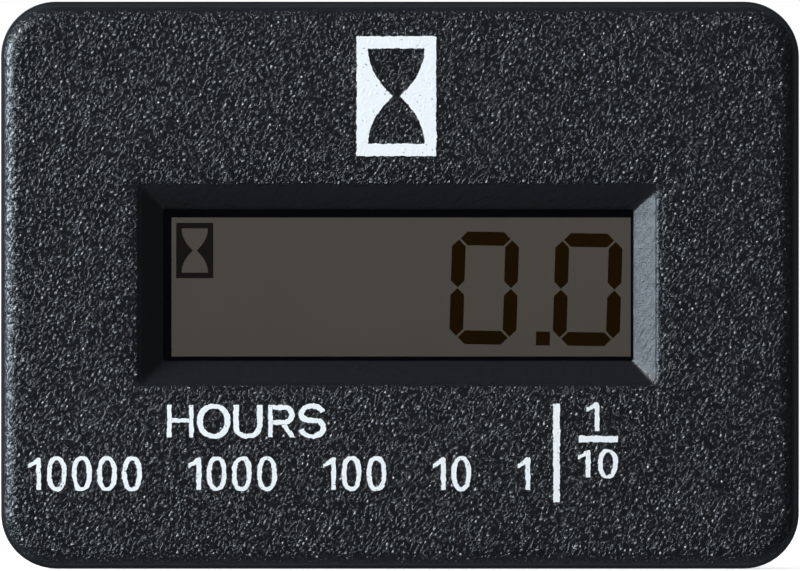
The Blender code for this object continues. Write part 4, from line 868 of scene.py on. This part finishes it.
finishes = {name: plain_finish(name) for name in FINISHES}
shown_already = {"front_case", "printed_rule", "printed_fraction_line", "printed_symbol", "window_lens"}
shown_already |= {"front_glass", "rear_glass", "front_polariser", "rear_reflector"}
slots = {entry["node"]: entry["material_slot"] for entry in frame["record"]["subparts"]}
finishes["case_plastic"] = case_plastic
for node, slot in slots.items():
    if node not in shown_already:
        carry_over(node, finishes[slot])
print("packed pieces with a new finish:", len(slots) - len(shown_already))

# %% [markdown]
# The black mask is cut film, so the corners of its opening are sharp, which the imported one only
# hints at. It is a flat frame: its opening and its outline, each at the front and at the back.

# %% The mask with a sharp opening
OPENING = (-14.545, -4.545), (14.685, 4.305)


def cut_rectangle(low, high, y):
    """The four corners of a rectangle at depth y."""
    return at_depth([(low[0], low[1]), (high[0], low[1]), (high[0], high[1]), (low[0], high[1])], y)


low, high = box_mm("display_mask")
outline, front, back = (low[[0, 2]], high[[0, 2]]), low[1], high[1]
mask_rings = ((OPENING, front), (OPENING, back), (outline, back), (outline, front))
mask_skin = skin(np.array([cut_rectangle(*corners, y) for corners, y in mask_rings]), wrap_rows=True)
new_piece("cut_mask", [mask_skin], finishes["mask_black"], ["display_mask"])

# %% [markdown]
# ## Softer edges at the back
#
# No moulded or pressed edge is razor sharp, and a thin line of light along an edge is what makes
# a piece look solid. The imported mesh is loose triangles, so a copy is merged first, its flat
# areas become single faces, and a Bevel modifier rounds every edge steeper than 30 degrees.

# %% Softened copies
SOFT_EDGES = {"rear_cover": 0.1, "mounting_bracket": 0.1, "panel_gasket": 0.12}
SOFT_EDGES |= {f"{up}_{side}_screw": 0.04 for up in ("upper", "lower") for side in ("left", "right")}


def softened_copy(node, width):
    """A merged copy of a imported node, with its edges rounded by width millimetres."""
    mesh = nodes[node].data.copy()
    work = bmesh.new()
    work.from_mesh(mesh)
    bmesh.ops.remove_doubles(work, verts=work.verts, dist=1e-6)
    bmesh.ops.dissolve_limit(work, angle_limit=np.radians(0.5), verts=work.verts, edges=work.edges)
    work.to_mesh(mesh)
    work.free()
    mesh.shade_smooth()
    made = bpy.data.objects.new(f"{node}_softened", mesh)
    scene.collection.objects.link(made)
    rounding = made.modifiers.new("rounding", "BEVEL")
    rounding.width, rounding.segments = width * MM, 2
    rounding.limit_method, rounding.angle_limit = "ANGLE", np.radians(30)
    rounding.harden_normals = True
    mesh.materials.clear()
    mesh.materials.append(finishes[slots[node]])
    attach(made, "root")
    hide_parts(node)
    print(f"{node}: {len(mesh.polygons)} faces before rounding")


for node, width in SOFT_EDGES.items():
    softened_copy(node, width)

# %% [markdown]
# ## Threads, nuts and spring washers
#
# These are all round an axis, so each is a grid of angle by height whose radius is a formula. A
# thread's radius falls and rises once per pitch, and shifts by a full pitch in one turn. A
# hexagon's radius is half its width over the cosine of the angle from the nearest flat, and the
# nut's chamfer is the smaller of that radius and a cone.

# %% Helpers for pieces round an axis
THREAD_PITCH, THREAD_DEPTH = 0.5, 0.27
ROUND = np.linspace(0, 2 * np.pi, 73)[:-1]


def hexagon_radius(across, turn):
    """Half the width over the cosine of the angle to the nearest flat."""
    return across / 2 / np.cos((ROUND + turn) % (np.pi / 3) - np.pi / 6)


def threaded(radius, y):
    """A triangular wave of the height over the pitch, less the share of a turn."""
    wave = np.abs(2 * ((y[:, None] / THREAD_PITCH - ROUND / (2 * np.pi)) % 1) - 1)
    return radius - THREAD_DEPTH * wave


def turned_skin(radii, heights, middle_x, wrap=False):
    """A skin from radii, given as (rings, angles), at heights along Y about the axis at middle_x."""
    x = middle_x + radii * np.cos(ROUND)
    z = radii * np.sin(ROUND)
    y = np.broadcast_to(np.asarray(heights)[:, None], x.shape)
    return skin(np.stack([x, y, z], 2), wrap_rows=wrap)


# %% Studs, nuts and washers
STUD_RADIUS, STUD_CHAMFER = 1.45, 0.4
HEAD_ACROSS, HEAD_HEIGHT, HEAD_EDGE = 5.0, 0.8, 0.01
NUT_ACROSS, NUT_BORE = 5.5, 1.55
NUT_CHAMFER, NUT_CHAMFER_ZONE, NUT_CONE = 0.12, 0.6, np.radians(60)
WASHER_RADII, WASHER_SPLIT, WASHER_EDGE = (1.65, 2.8), np.radians(14), 0.08
steel = finishes["zinc_steel"]


def flat_turn(node):
    """The turn that puts a hexagon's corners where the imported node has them: along X or along Z."""
    low, high = box_mm(node)
    return np.pi / 6 if high[0] - low[0] > high[2] - low[2] else 0.0


def stud_skin(node):
    """A hexagonal head, then a threaded shank that is chamfered at its end."""
    low, high = box_mm(node)
    middle = (low[0] + high[0]) / 2
    y = np.arange(low[1] + HEAD_HEIGHT, high[1], THREAD_PITCH / 8)
    y = np.append(y, high[1])
    shank = np.minimum(threaded(STUD_RADIUS, y), STUD_RADIUS - STUD_CHAMFER + (high[1] - y)[:, None])
    head = np.tile(hexagon_radius(HEAD_ACROSS, flat_turn(node)), (2, 1))
    heights = np.concatenate([[low[1], low[1] + HEAD_HEIGHT - HEAD_EDGE], y])
    return turned_skin(np.vstack([head, shank]), heights, middle)


def nut_skin(node):
    """Once round the nut's section: threaded bore, end face, chamfered hexagon, end face.

    The cone's radius is that of the hexagon's flats less the chamfer, and grows from the nearer end
    by the distance times a tangent.
    """
    low, high = box_mm(node)
    middle = (low[0] + high[0]) / 2
    inside = np.linspace(high[1], low[1], 41)
    bore = 2 * NUT_BORE - threaded(NUT_BORE, inside)
    zone = np.linspace(0, NUT_CHAMFER_ZONE, 9)
    outside = np.concatenate([low[1] + zone, high[1] - zone[::-1]])
    from_end = np.minimum(outside - low[1], high[1] - outside)
    cone = NUT_ACROSS / 2 - NUT_CHAMFER + from_end * np.tan(NUT_CONE)
    hexagon = np.minimum(hexagon_radius(NUT_ACROSS, flat_turn(node)), cone[:, None])
    return turned_skin(np.vstack([bore, hexagon]), np.concatenate([inside, outside]), middle, wrap=True)


def washer_skin(node):
    """A flat spring ring with softened edges, open at its split."""
    low, high = box_mm(node)
    inner, outer = WASHER_RADII
    e = WASHER_EDGE
    section = [(inner + e, low[1]), (outer - e, low[1]), (outer, low[1] + e), (outer, high[1] - e)]
    section += [(outer - e, high[1]), (inner + e, high[1]), (inner, high[1] - e), (inner, low[1] + e)]
    radius, y = np.array(section).T
    angle = np.linspace(WASHER_SPLIT / 2, 2 * np.pi - WASHER_SPLIT / 2, 97)[:, None]
    middle = high[0] - outer if node.startswith("right") else low[0] + outer
    x = middle + radius * np.cos(angle)
    return skin(np.stack([x, np.broadcast_to(y, x.shape), radius * np.sin(angle)], 2))


TURNED = (
    ("threaded_stud", stud_skin, "stud", 60),
    ("hexagon_nut", nut_skin, "nut", 30),
    ("spring_washer", washer_skin, "lock_washer", 30),
)
for side in ("left", "right"):
    for name, draw, packed, sharp in TURNED:
        node = f"{side}_{packed}"
        new_piece(f"{side}_{name}", [draw(node)], steel, [node], sharp)

# %% [markdown]
# ## Floor, light and camera
#
# The meter is shown on white. A floor lit to white by lamps would haze the black plastic, so this
# one glows by itself and is left out of bounced and mirrored light, and only the camera sees the
# white surroundings. The view transform is Standard, because a filmic one would grey that white.
#
# The larger, cooler light at the left is almost level with the face, so it rakes over the grain
# and shines on every slope that faces it. The smaller one stands higher and further to the front,
# for the print. A fill behind and one in front soften the rest. The display's films let in only
# light that falls straight on, so a lamp beside the camera lights it and nothing else.
#
# The camera stands far off with a long lens, for the straight view of a product picture, but near
# enough that the meter stays in its range of sight when it is seen from elsewhere.

# %% Floor
FLOOR_REACH, FLOOR_GLOW = 0.5, 0.55
corners = FLOOR_REACH * np.array([(-1, -1, 0), (1, -1, 0), (1, 1, 0), (-1, 1, 0)]) + (0, 0, case_low[2] * MM)
floor_mesh = bpy.data.meshes.new("floor")
floor_mesh.from_pydata(corners.tolist(), [], [(0, 1, 2, 3)])
floor = bpy.data.objects.new("floor", floor_mesh)
floor_finish, _, floor_shader, _ = new_material("pale_floor", (0.85, 0.85, 0.85), 0.8)
floor_mesh.materials.append(floor_finish)
floor_shader.inputs["Emission Strength"].default_value = FLOOR_GLOW
floor.visible_glossy = floor.visible_diffuse = False
scene.collection.objects.link(floor)

# %% World: white to the camera, dim to everything else
DIMMEST, FROM_ABOVE, FROM_BELOW, FROM_BEHIND = 0.006, 0.08, 0.22, 0.14
world = bpy.data.worlds.new("studio")
scene.world = world
scene.view_settings.view_transform = "Standard"
world.use_nodes = True
world_tree = world.node_tree
world_tree.nodes.clear()
seen = put(world_tree, "LightPath").outputs["Is Camera Ray"]
white = put(world_tree, "Background", Color=(1.0, 1.0, 1.0, 1.0), Strength=1.0)
direction = put(world_tree, "TexCoord").outputs["Generated"]
split = put(world_tree, "SeparateXYZ", Vector=direction).outputs
above = ramp(world_tree, split["Z"], 0.55, 0.95, DIMMEST, FROM_ABOVE)
below = ramp(world_tree, split["Z"], -0.95, -0.55, FROM_BELOW, DIMMEST)
rising = ramp(world_tree, split["Y"], 0.1, 0.5, 0.0, FROM_BEHIND)
behind = times(world_tree, rising, ramp(world_tree, split["Y"], 0.7, 0.92, 1.0, 0.1))
glow = plus(world_tree, plus(world_tree, above, below), behind)
dim = put(world_tree, "Background", Color=(0.8, 0.9, 1.0, 1.0), Strength=glow)
both = put(world_tree, "MixShader", Fac=seen, _1=dim.outputs[0], _2=white.outputs[0])
put(world_tree, "OutputWorld", Surface=both.outputs["Shader"])


# %% Lights
def softbox(name, azimuth, elevation, distance, size, radiance, colour=(1.0, 1.0, 1.0)):
    """A rectangular light that faces the meter. Azimuth 0 is the camera's side, and it grows to the left."""
    turn, lift = np.radians(azimuth), np.radians(elevation)
    data = bpy.data.lights.new(name, "AREA")
    data.shape = "RECTANGLE"
    data.size, data.size_y = size
    data.energy = radiance * np.pi * size[0] * size[1]
    data.color = colour
    lamp = bpy.data.objects.new(name, data)
    direction = np.array([-np.sin(turn) * np.cos(lift), -np.cos(turn) * np.cos(lift), np.sin(lift)])
    lamp.location = direction * distance
    lamp.rotation_euler = Vector(direction).to_track_quat("Z", "Y").to_euler()
    lamp.visible_camera = False
    scene.collection.objects.link(lamp)
    return lamp


side_lights = [
    softbox("left_softbox", 85, 8, 0.3, (0.22, 0.12), 15.5, (0.75, 0.88, 1.0)),
    softbox("upper_left_softbox", 62, 35, 0.4, (0.12, 0.12), 25.0, (0.95, 0.98, 1.0)),
]
fills = [
    softbox("back_fill", 170, 45, 0.6, (0.5, 0.4), 4.0),
    softbox("front_fill", 0, 12, 0.7, (0.5, 0.4), 5.2),
]
display_lamp = softbox("display_lamp", 0, 0, 0.7, (0.06, 0.06), 240.0)
for lamp in fills + [display_lamp]:
    lamp.visible_glossy = False

# %% The films let in only light that falls straight on
in_display = ["display_figures", "display_hourglass", "front_polariser", "rear_reflector", "cut_mask"]
for lamps, state in ((side_lights + fills, "EXCLUDE"), ([display_lamp], "INCLUDE")):
    linked = bpy.data.collections.new(f"display_{state.lower()}")
    for name in in_display:
        linked.objects.link(bpy.data.objects[name])
    for member in linked.collection_objects:
        member.light_linking.link_state = state
    for lamp in lamps:
        lamp.light_linking.receiver_collection = linked

# %% Camera
CAMERA_AWAY = 1.3
SEEN_WIDTH = 50.88 * MM
CAMERA_DROP = 0.025 * MM
camera_data = bpy.data.cameras.new("camera")
camera_data.sensor_width = 36.0
camera_data.lens = camera_data.sensor_width * (CAMERA_AWAY + FACE_Y / 2 * MM) / SEEN_WIDTH
camera_data.clip_start, camera_data.clip_end = 0.01, 10.0
camera = bpy.data.objects.new("camera", camera_data)
camera.location = (0.0, -CAMERA_AWAY, -CAMERA_DROP)
camera.rotation_euler = (np.pi / 2, 0.0, 0.0)
scene.collection.objects.link(camera)
scene.camera = camera
